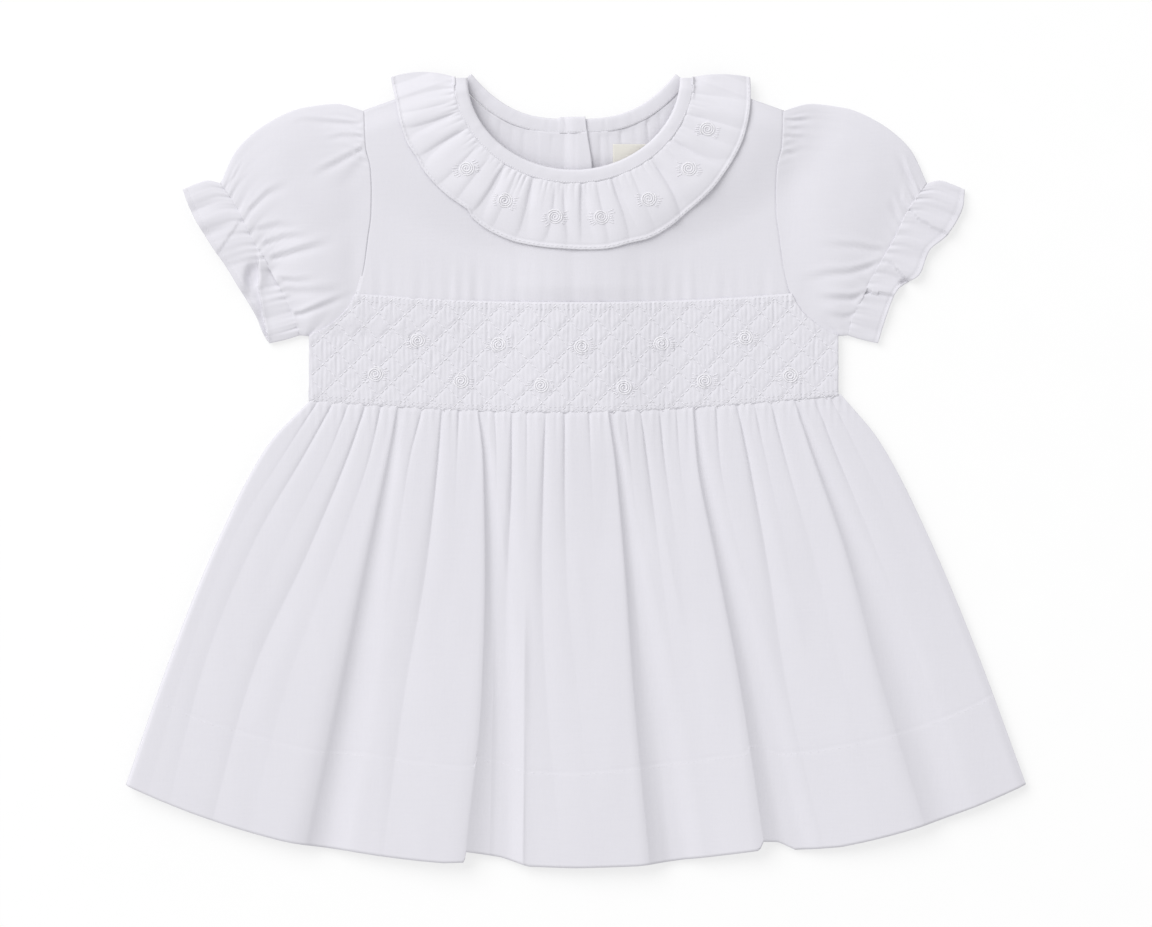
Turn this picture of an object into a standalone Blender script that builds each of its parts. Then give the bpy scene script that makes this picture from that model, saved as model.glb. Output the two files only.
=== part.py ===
"""A toddler's smocked cotton dress, laid flat on its back.

Frame: +X across the dress, +Y from hem to neck, +Z up off the surface that it lies on. The origin is
on that surface, under the middle of the whole dress. Sizes here are millimetres, and each point is
turned to metres as it is placed.

Every piece is a wall of cloth: a grid, extruded to a closed slab, whose two skins follow the piece's
outer and inner surface. The back pieces lie on the surface, and the front pieces lie on them.
"""
import math

import bmesh
import bpy
import numpy as np

MM = 0.001

# ---- driving sizes, mm -----------------------------------------------------------------------------
WALL = 1.3               # one layer of gathered cotton
SEAM = 0.3               # gap left between two pieces at a straight seam
CURVED_SEAM = 1.0        # and at a curved one, whose two edges are faceted differently
CENTRE_X = -1.25         # centre line of the bodice
CHEST_HALF = 140.0       # half of the chest, at the foot of the armholes
HEM_HALF = 238.0         # half of the hem
HEM_LOW = -210.5         # lowest point of the hem
HEM_CORNER_RISE = 44.0   # from there up to the hem's corners
HEM_POWER = 2.6          # how late the hem curves up
WAIST_LOW = 29.9         # the waist seam at the centre
WAIST_RISE = 7.7         # from there up to the side seams
WAIST_TILT = 1.35        # the right end of the waist lies higher than the left
WAIST_POWER = 1.7        # how late the waist curves up
BAND_TOP = 93.0          # seam between the smocked band and the yoke, at the armholes
BAND_TOP_SAG = 4.5       # that seam dips this far at the centre
SHOULDER_OUT = 189.5     # the shoulder line at the armhole
SHOULDER_IN = 206.5      # the shoulder line at the neck
SHOULDER_REACH = 111.75  # from the centre line to the top of the armhole

# The neck: half an ellipse in front, a shallow curve behind.
NECK_Y = 207.3
NECK_INNER = (56.0, 49.0)     # half width and depth of the opening
BINDING_WIDTH = 7.5
BINDING_HEIGHT = 2.4
BINDING_EDGE = 0.62           # height of a binding at its edges, as a share of its middle's
BACK_BINDING_CROWN = 0.6
BACK_BINDING_SHORT = 4.0      # the back binding starts this far inside the neck's end
NECK_END_ANGLE = 0.02         # the front neckline stops short of the shoulder fold
BACK_NECK_LOW = 177.6         # foot of the back binding
BACK_NECK_RISE = 22.0
BACK_NECK_HALF = 56.0
BACK_NECK_POWER = 2.75
BACK_NECK_END = 61.0
BACK_NECK_REACHES = (BACK_NECK_END, 56.0, 48.0, 38.0, 27.0, 17.0)
NECK_ZONE = (1.5, 1.05)       # where the zone over the back frill starts and is full, in frill sizes

# The collar frill, cut as a ring and gathered on to the neck.
FRILL_OUTER = (97.0, 91.5)    # its half width, and its depth in front
FRILL_BACK_DEPTH = 66.0       # its depth behind
FRILL_TOP_BULGE = 3.0         # the folded edge at the shoulder stands this far up
FRILL_TOP_SHARE = 0.06        # and it does so over this share of the way round
FRILL_FALL_FROM = 64.0        # past this reach the frill falls beyond the shoulder line
FRILL_FALL = 0.3              # by this much for each millimetre
FRILL_WALL = 1.1
FRILL_DROP = 0.016            # share of the way round in which a wave falls to its valley
FRILL_RISE = 0.03             # and in which it rises again
FRILL_WAVE = (0.3, 1.5)       # height of the waves at the neck and at the free edge
BACK_FRILL_WAVE = 0.8
BACK_FRILL_WAVES = 7
BACK_FRILL_STOP = 5.0         # the back frill ends this far before the lap
BACK_FRILL_START = 0.04       # and starts at this share of the half turn

# The back opening: the left half laps over the right one, with three buttons under the lap.
LAP_LEFT = 0.3                # edge of the right half, which lies below
LAP_RIGHT = 8.0               # edge of the left half, which lies above
BUTTON_ACROSS = 7.0
BUTTON_THICK = 1.1
BUTTON_TAPER = 0.88           # its upper face, as a share of its lower one
BUTTON_HEIGHTS = (176.0, 143.0, 110.0)
BUTTON_HOLE = 1.4
BUTTON_HOLE_OFF = 1.12        # each hole lies this far from the middle
LAP_LIFT = 1.5                # the lower lap clears the buttons by this much
LAP_LIFT_FROM = 86.0          # below this height there is no button to clear
LAP_LIFT_FULL = 98.0
LAP_REST = (12.0, 1.0)        # the right half rises to the lap between these distances from its edge
LAP_CLIMB = (12.0, 1.5)       # and the left half climbs over it between these
LAP_STEPS = (12.5, 8.0, 0.0)  # columns of the back next to the lapped edge
LAP_LEVEL = (9.0, 4.0)        # the front lies level this far past the lap's left and right edge
LAP_SLOPE = 45.0              # the front comes down from the lap over this distance on each side
SHOULDER_EASE = 14.0          # and down to the back over this distance below the shoulder line
FRONT_GAP = 0.8               # between the back and the front of the bodice
LAP_FOLD = 0.5                # extra thickness of the folded edge of the upper lap
NECK_LIFT = 2.4               # the back of the bodice clears the back frill
NECK_AIR = 4.5                # the front is this much higher at the neck than at the sides

LABEL_CENTRE = (33.0, 163.5)
LABEL_SIZE = (27.0, 17.0)
LABEL_THICK = 1.0

# The smocked band: pleats across, with rows of stitches that draw them into diamonds.
BAND_PLEATS = 38
BAND_ROWS = 16
DIAMOND_STEPS = 4             # columns and rows of the grid in one diamond
PLEAT_HEIGHT = 1.2
STITCH_PINCH = 0.75           # height of a stitched point, as a share of a pleat
EDGE_PLEAT = 0.4              # height of the pleats at the band's edges

# Heights of the skirt's folds.
FLOOR_GAP = 0.5               # between the back layer and a fold's valley
BACK_FOLLOWS = 0.75           # share of the front's folds that the back layer takes
BACK_STARTS = 1.6             # lift of the front above which the back layer leaves the surface
DIP_SHARE = 0.45
RIDGE_SHARE = 0.55
SHOULDER_SHARE = 0.15
SHOULDER_AT = 0.42            # place of a deep fold's shoulder between two valleys
DEEP_RIDGE_AT = 0.8           # place of its ridge
RIDGE_AT = 0.6                # place of the ridge of any other fold
LAST_RIDGE_SIZE = (1.0, 1.0, 1.0)

# Sleeves.
PUFF = 4.6
PUFF_POWER = 0.7              # how square the puff is across the sleeve
PUFF_LEVEL_BY = 0.6           # share of the sleeve's length by which it is down to the cuff's height
SLEEVE_CUFF_HEIGHT = 4.6
SLEEVE_TURNS = 18             # facets round a sleeve
FRILL_TURNS = 26              # facets round a sleeve frill
SLEEVE_FRILL_WAVE = 1.3
SLEEVE_FRILL_WAVES = 5.0
SLEEVE_FRILL_STEP = 0.4       # the frill starts this much lower than the cuff
UNDERARM_DROP = (95.0, 78.0)  # between these heights the sleeve also leaves the seam gap upwards
TUBE_POWER = 0.6              # how square the flattened tubes are
TUBE_INSET = 0.012            # share by which the inside of a tube's folds lies within the outside

SHARP_ANGLE = 50.0            # degrees; edges sharper than this are not shaded smooth
FLAT_ANGLE = 0.05             # degrees; faces this even are joined

# ---- tables, mm ------------------------------------------------------------------------------------
# Armhole: height, reach from the centre line.
ARMHOLE = (
    (189.5, 111.75), (171.0, 111.0), (159.0, 108.5), (147.0, 108.0), (135.0, 108.3), (122.0, 110.0),
    (107.0, 112.0), (93.0, 115.6), (84.5, 120.3), (77.0, 128.5), (70.5, CHEST_HALF),
)
# Top fold of a sleeve: reach from the centre line, height.
SLEEVE_TOP = ((112.75, 189.5), (125.5, 193.5), (143.0, 191.5), (161.0, 184.0), (178.5, 169.0),
              (187.0, 151.5))
# Gathered line at the elastic, from the top fold to the underarm fold: reach, height.
ELASTIC = ((187.0, 151.5), (177.5, 137.0), (170.0, 121.5), (161.5, 107.0), (154.0, 93.0),
           (148.5, 81.0), (145.0, 71.0))
UNDERARM = ((141.3, 70.6), (145.0, 71.0))
# Edge of each sleeve frill, from the top fold to the underarm fold: reach, height.
FRILL_EDGE_LEFT = ((206.8, 148.0), (201.8, 135.5), (192.3, 119.5), (183.3, 106.5), (176.3, 95.0),
                   (168.3, 82.0), (163.8, 71.5), (160.3, 66.5))
FRILL_EDGE_RIGHT = ((207.8, 148.5), (206.3, 140.5), (198.0, 124.5), (188.3, 116.0), (182.8, 103.0),
                    (172.0, 96.0), (167.5, 87.0), (161.8, 67.5))
FRILL_TOP_EDGE = ((187.8, 151.5), (193.5, 153.0), (200.5, 151.0), (207.0, 148.2))
FRILL_FOOT_EDGE = ((145.8, 71.0), (152.5, 68.7), (161.0, 66.8))

# Folds of the skirt. Stations down the skirt run from 0 at the waist to 1 at the hem.
FOLD_STATIONS = (0.0, 0.12, 0.35, 0.65, 1.0)
SIZE_STATIONS = (0.0, 0.5, 1.0)
# Each row: where its valley lies at those stations; its size at the waist, halfway and at the hem;
# whether it is one of the deep folds that reach the hem.
SKIRT_FOLDS = (
    ((-136, -152, -181, -205, -226), (1.8, 1.0, 1.5), False),
    ((-128, -142, -170, -196, -215), (2.4, 2.0, 1.0), False),
    ((-120, -130, -155, -185, -205), (2.0, 0.8, 0.8), False),
    ((-111, -120, -141, -174, -195), (2.6, 3.0, 1.6), False),
    ((-103, -109, -127, -152, -173), (2.0, 0.7, 0.8), False),
    ((-94, -99, -110, -125, -143), (3.0, 4.6, 4.8), True),
    ((-81, -88, -96, -109, -123), (2.2, 1.0, 0.8), False),
    ((-71, -73, -79, -91, -102), (2.6, 2.6, 0.8), False),
    ((-62, -63, -65, -72, -82), (1.8, 0.5, 0.4), False),
    ((-52, -49, -48, -50, -58), (3.0, 4.4, 5.2), True),
    ((-43, -42, -42, -44, -46), (1.8, 0.6, 0.4), False),
    ((-34, -34, -36, -37, -37), (2.8, 2.0, 0.6), False),
    ((-26, -26, -27, -28, -27), (1.8, 0.5, 1.2), False),
    ((-16, -17, -17, -15, -7), (2.6, 1.8, 1.0), False),
    ((-6, -6, -5, 2, 11), (2.2, 0.9, 0.6), False),
    ((7, 8, 11, 17, 25), (1.8, 0.5, 0.5), False),
    ((17, 21, 26, 32, 39), (3.0, 4.4, 4.6), True),
    ((26, 29, 35, 43, 50), (1.8, 0.6, 0.5), False),
    ((34, 38, 45, 54, 62), (2.4, 0.8, 0.5), False),
    ((44, 47, 55, 65, 74), (2.2, 0.7, 0.6), False),
    ((53, 55, 64, 76, 86), (1.8, 0.6, 0.5), False),
    ((62, 64, 74, 88, 99), (2.8, 4.4, 5.2), True),
    ((74, 76, 87, 100, 115), (1.8, 0.8, 0.6), False),
    ((85, 91, 101, 112, 131), (2.8, 3.4, 1.6), False),
    ((94, 100, 112, 126, 146), (1.8, 0.7, 0.6), False),
    ((103, 110, 125, 142, 163), (2.6, 1.2, 0.7), False),
    ((115, 124, 142, 165, 190), (2.8, 3.8, 1.8), True),
    ((126, 136, 157, 182, 207), (2.4, 1.6, 1.2), False),
    ((134, 147, 171, 198, 223), (2.0, 1.2, 0.8), False),
)
SKIRT_SIDE_POWER = (0.68, 0.74)     # how the left and the right side flare
SKIRT_ROWS = (0.0, 0.03, 0.08, 0.15, 0.24, 0.35, 0.48, 0.61, 0.74, 0.87, 0.95, 1.0)
SKIRT_BACK_ROWS = (0.0, 0.06, 0.15, 0.3, 0.48, 0.66, 0.84, 1.0)
SKIRT_LEVEL = (1.5, 2.0, 2.4)       # general lift of the front at the waist, halfway and at the hem
# Rise of the hem over its plain curve: place along it, rise.
HEM_WAVE = (
    (-154, 0.0), (-120, 1.5), (-70, 1.0), (-59, 2.0), (-58, 7.5), (-40, 5.0), (-25, 0.5), (0, 0.0),
    (33, 1.0), (58, 3.2), (82, 4.6), (97, 5.2), (99, 9.5), (107, 8.0), (116, 2.5), (140, 0.0),
)
# Waves of the front collar frill: place round the neck from 0 to 1, depth.
COLLAR_FOLDS = (
    (0.10, 1.2), (0.19, 0.9), (0.27, 0.7), (0.335, 1.6), (0.39, 0.8), (0.435, 1.3), (0.485, 0.9),
    (0.53, 1.7), (0.57, 0.8), (0.635, 1.6), (0.70, 0.9), (0.765, 1.4), (0.84, 1.2), (0.92, 0.9),
)

collection = None


# ---- curves ----------------------------------------------------------------------------------------
def ramp(value, start, end):
    """Smooth step: 0 at start, 1 at end, whichever of the two is larger."""
    share = min(1.0, max(0.0, (value - start) / (end - start)))
    return share * share * (3.0 - 2.0 * share)


def mix(low, high, share):
    return low + (high - low) * share


def interpolated(keys, values, at):
    """A smooth curve through the values, that never overshoots them."""
    keys = np.asarray(keys, float)
    values = np.asarray(values, float)
    steps = np.diff(keys)
    slopes = np.diff(values) / steps
    tangents = np.zeros(len(keys))
    for i in range(1, len(keys) - 1):
        if slopes[i - 1] * slopes[i] > 0.0:
            tangents[i] = 2.0 * slopes[i - 1] * slopes[i] / (slopes[i - 1] + slopes[i])
    tangents[0] = slopes[0]
    tangents[-1] = slopes[-1]
    i = int(min(max(np.searchsorted(keys, at) - 1, 0), len(steps) - 1))
    s = min(max((at - keys[i]) / steps[i], 0.0), 1.0)
    return float(values[i] * (1 + 2 * s) * (1 - s) ** 2 + tangents[i] * steps[i] * s * (1 - s) ** 2
                 + values[i + 1] * s * s * (3 - 2 * s) + tangents[i + 1] * steps[i] * s * s * (s - 1))


def along(points, share):
    """The point at a share of the length of a smooth curve through the points."""
    points = np.asarray(points, float)
    lengths = np.concatenate(([0.0], np.cumsum(np.hypot(*np.diff(points, axis=0).T))))
    at = share * lengths[-1]
    return interpolated(lengths, points[:, 0], at), interpolated(lengths, points[:, 1], at)


def patch(first, last, near, far, p, q):
    """A point of the surface patch between four edges: first and last run along q, near and far along p."""
    a, b = np.array(first(q)), np.array(last(q))
    c, d = np.array(near(p)), np.array(far(p))
    corners = (mix(np.array(first(0.0)), np.array(last(0.0)), p) * (1.0 - q)
               + mix(np.array(first(1.0)), np.array(last(1.0)), p) * q)
    return mix(a, b, p) + mix(c, d, q) - corners


# ---- outlines --------------------------------------------------------------------------------------
def armhole_reach(y):
    heights = [row[0] for row in ARMHOLE][::-1]
    reaches = [row[1] for row in ARMHOLE][::-1]
    return interpolated(heights, reaches, y)


def side_x(y, side):
    """The bodice's side, from the side seam up the armhole; side is -1 or 1."""
    return CENTRE_X + side * armhole_reach(y)


def waist_y(x):
    return WAIST_LOW + WAIST_RISE * abs(x / CHEST_HALF) ** WAIST_POWER + WAIST_TILT * x / CHEST_HALF


def band_top_y(x):
    return BAND_TOP - BAND_TOP_SAG * (1.0 - ((x - CENTRE_X) / SHOULDER_REACH) ** 2)


def shoulder_y(x):
    """The shoulder line, by reach from the centre line."""
    inner = NECK_INNER[0] + BINDING_WIDTH
    share = (SHOULDER_REACH - abs(x - CENTRE_X)) / (SHOULDER_REACH - inner)
    return mix(SHOULDER_OUT, SHOULDER_IN, share)


def neck_point(angle, grow):
    """The front neckline, grown outwards; the angle is 0 at its left end and pi at its right end."""
    return (CENTRE_X - (NECK_INNER[0] + grow) * math.cos(angle),
            NECK_Y - (NECK_INNER[1] + grow) * math.sin(angle))


def back_neck_y(x):
    reach = abs(x - CENTRE_X) / BACK_NECK_HALF
    return BACK_NECK_LOW + BACK_NECK_RISE * reach ** BACK_NECK_POWER


def hem_y(x):
    places = [row[0] for row in HEM_WAVE]
    rises = [row[1] for row in HEM_WAVE]
    curve = HEM_LOW + HEM_CORNER_RISE * abs(x / HEM_HALF) ** HEM_POWER
    return curve + float(np.interp(x, places, rises))


# ---- heights of the layers ---------------------------------------------------------------------------
def neck_zone(x, y):
    """1 over the back frill, falling to 0 away from it."""
    radius = math.hypot((x - CENTRE_X) / FRILL_OUTER[0], (y - NECK_Y) / FRILL_BACK_DEPTH)
    return ramp(radius, *NECK_ZONE)


def back_lift(x, y):
    return NECK_LIFT * neck_zone(x, y)


def lap_lift(y):
    """Clearance over the buttons, at a height up the back."""
    return LAP_LIFT * ramp(y, LAP_LIFT_FROM, LAP_LIFT_FULL)


def lower_lap(x, y):
    """Underside of the right half of the back."""
    far, near = LAP_REST
    lap = lap_lift(y) * ramp(x, LAP_RIGHT + far, LAP_RIGHT + near)
    return max(back_lift(x, y), lap)


def lap_climb(x):
    """How far the left half of the back has climbed on to the lap, from 0 to 1."""
    far, near = LAP_CLIMB
    return ramp(x, LAP_LEFT - far, LAP_LEFT - near)


def upper_lap(x, y):
    """Underside of the left half of the back, which climbs over the right half."""
    above = max(back_lift(LAP_LEFT, y), lap_lift(y)) + WALL + SEAM
    return max(back_lift(x, y), above * lap_climb(x))


def lap_height(x):
    """How far the front rides up over the lapped opening."""
    flat_from = LAP_LEFT - LAP_LEVEL[0]
    flat_to = LAP_RIGHT + LAP_LEVEL[1]
    places = (flat_from - LAP_SLOPE, flat_from, flat_to, flat_to + LAP_SLOPE)
    return float(np.interp(x, places, (0.0, 1.0, 1.0, 0.0)))


def front_base(x, y):
    """Underside of the front of the bodice."""
    lap = lap_lift(y) + 2.0 * WALL + SEAM + LAP_FOLD
    plain = WALL + FRONT_GAP + (lap - WALL) * lap_height(x)
    zone = neck_zone(x, y)
    raised = mix(plain, WALL + FRONT_GAP + NECK_AIR, zone)
    near_shoulder = 0.0
    if abs(x - CENTRE_X) > NECK_INNER[0] + BINDING_WIDTH:
        near_shoulder = ramp(shoulder_y(x) - y, SHOULDER_EASE, 0.0)
    return mix(raised, back_lift(x, y) + WALL + FRONT_GAP, near_shoulder)


# ---- mesh tools --------------------------------------------------------------------------------------
def fabric(name, colour, roughness):
    material = bpy.data.materials.new(name)
    material.use_nodes = True
    shader = material.node_tree.nodes["Principled BSDF"]
    shader.inputs["Base Color"].default_value = (*colour, 1.0)
    shader.inputs["Roughness"].default_value = roughness
    shader.inputs["Metallic"].default_value = 0.0
    material.diffuse_color = (*colour, 1.0)
    return material


def finish_object(bm, name, material):
    bmesh.ops.recalc_face_normals(bm, faces=bm.faces[:])
    mesh = bpy.data.meshes.new(name)
    bm.to_mesh(mesh)
    bm.free()
    mesh.materials.append(material)
    mesh.shade_smooth()
    mesh.set_sharp_from_angle(angle=math.radians(SHARP_ANGLE))
    item = bpy.data.objects.new(name, mesh)
    collection.objects.link(item)
    return item


def cloth(name, material, columns, rows, outer, inner, tube=False, plain_inside=False):
    """A closed wall over a grid of (u, v) places; outer and inner give its two skins in mm."""
    bm = bmesh.new()
    u_layer = bm.verts.layers.float.new("u")
    v_layer = bm.verts.layers.float.new("v")
    inside = bm.verts.layers.int.new("inside")
    across = len(columns) - 1
    down = len(rows) - 1
    bmesh.ops.create_grid(bm, x_segments=across, y_segments=down, size=1.0)
    for vert in bm.verts:
        vert[u_layer] = columns[round((vert.co.x + 1.0) * 0.5 * across)]
        vert[v_layer] = rows[round((vert.co.y + 1.0) * 0.5 * down)]
        vert.co = np.array(outer(vert[u_layer], vert[v_layer])) * MM
    if tube:
        bmesh.ops.remove_doubles(bm, verts=bm.verts[:], dist=1e-7)
    copied = bmesh.ops.extrude_face_region(bm, geom=bm.faces[:])
    inner_verts = [item for item in copied["geom"] if isinstance(item, bmesh.types.BMVert)]
    for vert in inner_verts:
        vert[inside] = 1
        vert.co = np.array(inner(vert[u_layer], vert[v_layer])) * MM
    if plain_inside:
        bm.normal_update()
        flat = {face for face in bm.faces if all(vert[inside] for vert in face.verts)}
        edges = [edge for edge in bm.edges if all(other in flat for other in edge.link_faces)]
        verts = [vert for vert in bm.verts if all(other in flat for other in vert.link_faces)]
        bmesh.ops.dissolve_limit(bm, angle_limit=math.radians(FLAT_ANGLE), verts=verts, edges=edges)
    return finish_object(bm, name, material)


def even(count):
    return [i / count for i in range(count + 1)]


def panel(name, material, columns, rows, place, under, over, **options):
    """A cloth wall that lies flat: place gives x and y, under and over give the heights there."""
    def outer(u, v):
        x, y = place(u, v)
        return x, y, over(x, y, u, v)

    def inner(u, v):
        x, y = place(u, v)
        return x, y, under(x, y, u, v)

    return cloth(name, material, columns, rows, outer, inner, **options)


# ---- bodice ------------------------------------------------------------------------------------------
def shoulder_points(side, count):
    """Points of one shoulder line, from the armhole to the neck."""
    inner = NECK_INNER[0] + BINDING_WIDTH + CURVED_SEAM
    reaches = [mix(SHOULDER_REACH, inner, i / count) for i in range(count + 1)]
    return [(CENTRE_X + side * reach, shoulder_y(CENTRE_X + side * reach)) for reach in reaches]


def columns_under(points, left_x, right_x):
    """Where each point of a top edge stands between the two sides, as a share of the width."""
    return [(x - left_x(y)) / (right_x(y) - left_x(y)) for x, y in points]


def make_yoke(material):
    """Front yoke, from the smocked band up to the neck and shoulders."""
    steps = 16
    neck = [neck_point(math.pi * i / steps, BINDING_WIDTH + CURVED_SEAM) for i in range(1, steps)]
    top = shoulder_points(-1, 4) + neck + shoulder_points(1, 4)[::-1]

    def left(y):
        return side_x(y, -1)

    def right(y):
        return side_x(y, 1)

    columns = columns_under(top, left, right)
    top_heights = [y for _, y in top]

    def place(u, v):
        high = float(np.interp(u, columns, top_heights))
        foot = band_top_y(mix(left(BAND_TOP), right(BAND_TOP), u)) + SEAM
        y = mix(foot, high, v)
        return mix(left(y), right(y), u), y

    def under(x, y, u, v):
        return front_base(x, y)

    def over(x, y, u, v):
        return front_base(x, y) + WALL

    return panel("bodice_front_yoke", material, columns, even(8), place, under, over)


def make_band(material):
    """Smocked band under the yoke: pleats, pinched where the diamond rows of stitches cross them."""
    columns = even(2 * BAND_PLEATS)
    rows = even(BAND_ROWS)

    def place(u, v):
        foot = waist_y(mix(-CHEST_HALF, CHEST_HALF, u)) + SEAM
        top = band_top_y(mix(side_x(BAND_TOP, -1), side_x(BAND_TOP, 1), u))
        y = mix(foot, top, v)
        return mix(side_x(y, -1), side_x(y, 1), u), y

    def under(x, y, u, v):
        return front_base(x, BAND_TOP)

    def over(x, y, u, v):
        column = round(u * 2 * BAND_PLEATS)
        row = round(v * BAND_ROWS)
        crest = column % 2
        stitched = (column + row) % DIAMOND_STEPS == 0 or (column - row) % DIAMOND_STEPS == 0
        height = PLEAT_HEIGHT * crest
        if stitched:
            height = PLEAT_HEIGHT * STITCH_PINCH
        if row in (0, BAND_ROWS) or column in (0, 2 * BAND_PLEATS):
            height = PLEAT_HEIGHT * EDGE_PLEAT
        return under(x, y, u, v) + WALL + height

    return panel("smocked_band", material, columns, rows, place, under, over, plain_inside=True)


def back_half(name, material, side, lap_edge, under):
    """One half of the back of the bodice, from its side seam to the edge of its lap."""
    neck = [(CENTRE_X + side * reach, back_neck_y(CENTRE_X + side * reach))
            for reach in BACK_NECK_REACHES]
    lap = [(x, back_neck_y(x)) for x in (lap_edge + side * step for step in LAP_STEPS)]
    top = shoulder_points(side, 3) + neck + lap

    def outer_x(y):
        return side_x(y, side)

    def lap_x(y):
        return lap_edge

    columns = columns_under(top, outer_x, lap_x)
    top_heights = [y for _, y in top]

    def place(u, v):
        high = float(np.interp(u, columns, top_heights)) - CURVED_SEAM
        foot = waist_y(mix(side * CHEST_HALF, lap_edge, u)) + SEAM
        y = mix(foot, high, v)
        return mix(outer_x(y), lap_edge, u), y

    def low(x, y, u, v):
        return under(x, y)

    def high(x, y, u, v):
        fold = LAP_FOLD * (side < 0) * ramp(x, LAP_LEFT - 1.0, LAP_LEFT)
        return under(x, y) + WALL + fold

    return panel(name, material, columns, even(11), place, low, high)


# ---- neck --------------------------------------------------------------------------------------------
def binding_over(base, v):
    """Rounded top of a binding strip, across its width."""
    return base + BINDING_HEIGHT * mix(BINDING_EDGE, 1.0, math.sin(math.pi * v))


def make_front_binding(material):
    """Bias strip round the front of the neck."""
    def place(u, v):
        angle = mix(NECK_END_ANGLE, math.pi - NECK_END_ANGLE, u)
        return neck_point(angle, BINDING_WIDTH * v)

    def under(x, y, u, v):
        return WALL + FRONT_GAP + NECK_AIR + SEAM

    def over(x, y, u, v):
        return binding_over(under(x, y, u, v) + FRILL_WALL, v)

    return panel("neck_binding_front", material, even(24), even(4), place, under, over)


def back_binding(name, material, side, lap_edge, under):
    """Bias strip round one half of the back of the neck, to the end of its lap."""
    climbs = side < 0
    start = CENTRE_X + side * (BACK_NECK_END - BACK_BINDING_SHORT)

    def place(u, v):
        x = mix(start, lap_edge, u)
        step = 0.5
        slope = (back_neck_y(x + step) - back_neck_y(x - step)) / (2.0 * step)
        length = math.hypot(1.0, slope)
        off = BINDING_WIDTH * v
        return x - off * slope / length, back_neck_y(x) + off / length

    def low(x, y, u, v):
        return under(x, y) + BACK_BINDING_CROWN * climbs * lap_climb(x)

    def high(x, y, u, v):
        return low(x, y, u, v) + WALL + BACK_BINDING_CROWN * math.sin(math.pi * v)

    return panel(name, material, even(12), even(3), place, low, high)


def frill_profile(place, folds):
    """Height of a gathered frill from 0 in its valleys to 1 on its ridges, by place along it."""
    centres = [row[0] for row in folds]
    depths = [row[1] for row in folds]
    deepest = max(depths)
    height = 1.0
    for centre, depth in zip(centres, depths):
        before = ramp(place, centre - FRILL_DROP, centre)
        after = ramp(place, centre + FRILL_RISE, centre)
        height -= depth / deepest * (before if place <= centre else after)
    return max(0.0, height)


def make_front_frill(material):
    """Gathered collar frill over the front of the yoke."""
    places = [0.0, 0.04]
    for centre, _ in COLLAR_FOLDS:
        places += [centre - FRILL_DROP, centre, centre + FRILL_RISE]
    places += [0.965, 1.0]

    def place(u, v):
        angle = math.pi * u
        inner_angle = max(NECK_END_ANGLE, min(math.pi - NECK_END_ANGLE, angle))
        inner = np.array(neck_point(inner_angle, BINDING_WIDTH + SEAM))
        outer = np.array((CENTRE_X - FRILL_OUTER[0] * math.cos(angle),
                          NECK_Y - FRILL_OUTER[1] * math.sin(angle)))
        point = mix(inner, outer, v)
        edge = min(u, 1.0 - u)
        point[1] += FRILL_TOP_BULGE * math.sin(math.pi * v) * ramp(edge, FRILL_TOP_SHARE, 0.0)
        return tuple(point)

    def under(x, y, u, v):
        beyond = 0.0
        if abs(x - CENTRE_X) > FRILL_FALL_FROM:
            beyond = max(0.0, y - shoulder_y(x))
        rest = front_base(x, min(y, SHOULDER_IN)) + WALL + CURVED_SEAM
        wave = mix(*FRILL_WAVE, v) * frill_profile(u, COLLAR_FOLDS)
        return max(NECK_LIFT + WALL, rest - FRILL_FALL * beyond) + wave

    def over(x, y, u, v):
        return under(x, y, u, v) + FRILL_WALL

    return panel("collar_frill_front", material, places, even(4), place, under, over)


def back_frill(name, material, side, lap_edge):
    """The collar frill under one half of the back, on the surface that the dress lies on."""
    end_reach = abs(lap_edge - CENTRE_X + side * BACK_FRILL_STOP)
    last = math.acos(end_reach / FRILL_OUTER[0]) / math.pi
    columns = even(14)

    def place(u, v):
        angle = math.pi * mix(BACK_FRILL_START, last, u)
        outer = np.array((CENTRE_X + side * FRILL_OUTER[0] * math.cos(angle),
                          NECK_Y - FRILL_BACK_DEPTH * math.sin(angle)))
        reach = mix(BACK_NECK_END, end_reach, u)
        x = CENTRE_X + side * reach
        inner = np.array((x, back_neck_y(x) - SEAM))
        return tuple(mix(inner, outer, v))

    def under(x, y, u, v):
        wave = 0.5 - 0.5 * math.cos(2.0 * math.pi * BACK_FRILL_WAVES * u)
        return BACK_FRILL_WAVE * wave * v

    def over(x, y, u, v):
        return under(x, y, u, v) + FRILL_WALL

    return panel(name, material, columns, even(3), place, under, over)


def make_label(material):
    """Plain label inside the back of the neck."""
    bm = bmesh.new()
    bmesh.ops.create_cube(bm, size=1.0)
    width, height = LABEL_SIZE
    x, y = LABEL_CENTRE
    corners = [(x + sx * width / 2, y + sy * height / 2) for sx in (-1, 1) for sy in (-1, 1)]
    floor = max(lower_lap(*corner) for corner in corners) + WALL + SEAM
    for vert in bm.verts:
        vert.co = (np.array((x + vert.co.x * width, y + vert.co.y * height,
                             floor + (vert.co.z + 0.5) * LABEL_THICK)) * MM)
    return finish_object(bm, "neck_label", material)


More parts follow.
